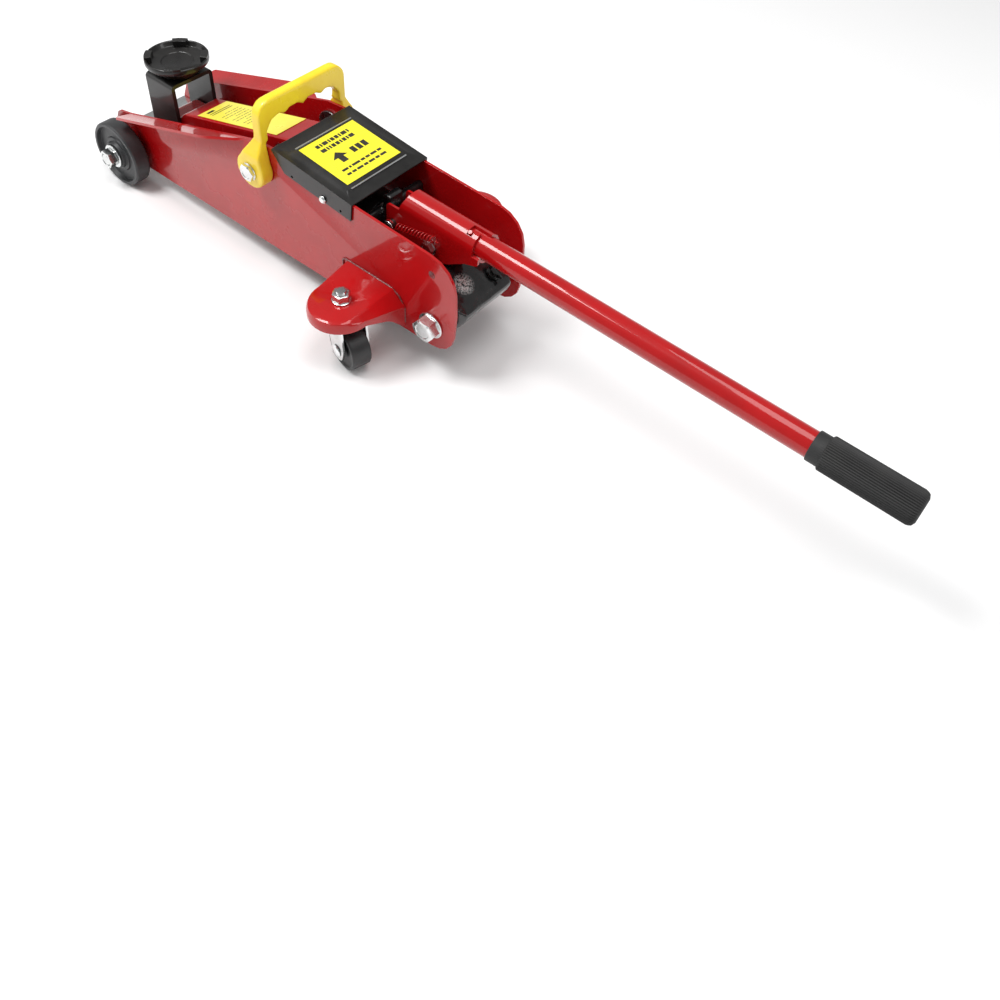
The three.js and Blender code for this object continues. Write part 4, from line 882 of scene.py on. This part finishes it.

# %% [markdown]
# ### Dimple
# A small hole is punched in each side plate's tail, with its edge dished in. The solid has a
# shallow round recess there, and a cup with a rolled lip is turned and set into it, in the darker red that paints
# the shade inside the hole.

# %% Punched hole and its painted shade
HOLE_OVER_BOLT = 55.5 * MM
COVER_STANDS_OUT = 1.8 * MM  # from the side plate's face to the cover's


def dimple(side):
    place = middle("unit_bolt_" + side)
    place.z += HOLE_OVER_BOLT
    _, cover_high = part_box("cover_plate")
    place.y = (cover_high.y - COVER_STANDS_OUT) * OUTWARD[side][1]
    lip = [(0, -1.1), (1.5, -1.05), (2.1, -0.7), (3.0, -0.15), (3.5, 0.05)]
    cup = [(3.1, 0.2), (2.4, -0.3), (1.9, -0.6), (1.3, -0.85), (0, -0.9)]
    bm = bmesh.new()
    spun(bm, lip + cup, place, OUTWARD[side], 32)
    # The cup's darker red is painted shade inside the hole.
    trim("tail_dimple_shade_" + side, bm, DARK_RED, "side_plate_" + side, 60.0)


for side in SIDES:
    dimple(side)

# %% [markdown]
# ### Welds
# A caster wing is welded round its root to the side plate. The bead is a chain of overlapping
# puddles under the paint, so a swept wire whose thickness swells at every puddle makes it.

# %% Weld beads
WELD_RADIUS = 0.9 * MM
PUDDLE = 1.6 * MM
SWELL = 0.25 * MM


def weld_route(side):
    """Round the wing's root, up its front, along its top and down its rear."""
    low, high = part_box("caster_wing_" + side)
    y = OUTWARD[side][1] * (min(abs(low.y), abs(high.y)) + 0.2 * MM)
    front = low.x + 1.0 * MM
    top = high.z - 0.2 * MM
    rear = high.x - 0.6 * MM
    return [Vector((front - 5.0 * MM, y, top - 10 * MM)), Vector((front - 4.6 * MM, y, top - 2 * MM)),
            Vector((front - 2.0 * MM, y, top)), Vector((rear - 15 * MM, y, top)),
            Vector((rear - 6 * MM, y, top - 4.5 * MM)), Vector((rear, y, top - 14 * MM)),
            Vector((rear, y, top - 30 * MM))]


def puddles(bm, corners):
    path = []
    for a, b in zip(corners, corners[1:]):
        count = max(2, int((b - a).length / (0.5 * MM)))
        path += [a.lerp(b, i / count) for i in range(count)]
    path.append(corners[-1])
    swept(bm, path, WELD_RADIUS)
    for v in bm.verts:
        swell = noise.noise(v.co / PUDDLE) * SWELL
        v.co += Vector((swell * 0.6, 0, swell))


for side in SIDES:
    bm = bmesh.new()
    puddles(bm, weld_route(side))
    # The bead takes the darker red, which draws a dark line round the wing's root.
    trim("wing_weld_" + side, bm, DARK_RED, "caster_wing_" + side, 80.0)
print("beads and welds made")

# %% [markdown]
# ## Studio
# A pale floor runs out past the view, and broad soft lights hang over it. Seen from above,
# the glossy side plates mirror the floor, so the floor has to be bright.

# %% Floor
FLOOR_HALF = 4.0


def studio_floor():
    bm = bmesh.new()
    bmesh.ops.create_grid(bm, x_segments=8, y_segments=8, size=FLOOR_HALF)
    mesh = bpy.data.meshes.new("studio_floor")
    bm.to_mesh(mesh)
    bm.free()
    floor = bpy.data.objects.new("studio_floor", mesh)
    bpy.context.scene.collection.objects.link(floor)
    material = bpy.data.materials.new("pale paper")
    material.use_nodes = True
    tree = material.node_tree
    shader = tree.nodes["Principled BSDF"]
    place = put(tree, "TexCoord").outputs["Object"]
    mottle = noise_of(tree, place, 3.0, 4.0)
    colour = blended(tree, mottle, (0.93, 0.93, 0.93), (0.90, 0.90, 0.90))
    tree.links.new(colour, shader.inputs["Base Color"])
    shader.inputs["Roughness"].default_value = 0.8
    mesh.materials.append(material)


studio_floor()

# %% Lights
JACK_MIDDLE = Vector((0.0, 0.0, 0.05))
SKY_STRENGTH = 0.36


def softbox(name, place, size, power):
    """A broad lamp turned to the jack; size is in metres and power in watts."""
    data = bpy.data.lights.new(name, "AREA")
    data.shape = "RECTANGLE"
    data.size, data.size_y = size
    data.energy = power
    lamp = bpy.data.objects.new(name, data)
    lamp.location = place
    lamp.rotation_mode = "QUATERNION"
    lamp.rotation_quaternion = (JACK_MIDDLE - Vector(place)).to_track_quat("-Z", "Y")
    bpy.context.scene.collection.objects.link(lamp)


softbox("key", (-0.75, -0.55, 1.7), (0.7, 0.7), 24)
softbox("overhead", (0.35, 0.1, 2.0), (1.2, 1.0), 16)
softbox("left_fill", (-1.5, -1.1, 0.9), (1.0, 1.4), 5)
softbox("right_strip", (1.4, 0.5, 0.9), (0.3, 1.2), 5)
world = bpy.data.worlds.new("studio")
world.use_nodes = True
sky = world.node_tree.nodes["Background"]
sky.inputs["Color"].default_value = (1.0, 1.0, 1.0, 1.0)
sky.inputs["Strength"].default_value = SKY_STRENGTH
bpy.context.scene.world = world
bpy.context.scene.view_settings.view_transform = "Standard"

# %% [markdown]
# ## Camera
# The camera looks down over the jack from beside the end of the pump handle, on the jack's
# left. It is rolled a little, as a hand-held one is, and its lens is shifted to frame the jack.

# %% Camera
STAND = Vector((0.433124, -0.49886, 0.65613))
YAW, PITCH, ROLL = (math.radians(angle) for angle in (38.48, -43.511, -2.83))
SENSOR, LENS = 36.0, 37.106
SHIFT = (0.02594, -0.19733)


def look_from(place, yaw, pitch, roll):
    """Puts the camera at a place: yaw is from +Y towards -X, and pitch is up from level."""
    forward = Vector((
        -math.sin(yaw) * math.cos(pitch), math.cos(yaw) * math.cos(pitch), math.sin(pitch)
    ))
    right = forward.cross(Vector((0, 0, 1))).normalized()
    down = forward.cross(right)
    right, down = (
        right * math.cos(roll) + down * math.sin(roll),
        down * math.cos(roll) - right * math.sin(roll),
    )
    data = bpy.data.cameras.new("studio_camera")
    data.sensor_width = SENSOR
    data.lens = LENS
    data.shift_x, data.shift_y = SHIFT
    camera = bpy.data.objects.new("studio_camera", data)
    turned = Matrix((right, -down, -forward)).transposed().to_4x4()
    camera.matrix_world = Matrix.Translation(place) @ turned
    bpy.context.scene.collection.objects.link(camera)
    bpy.context.scene.camera = camera


look_from(STAND, YAW, PITCH, ROLL)
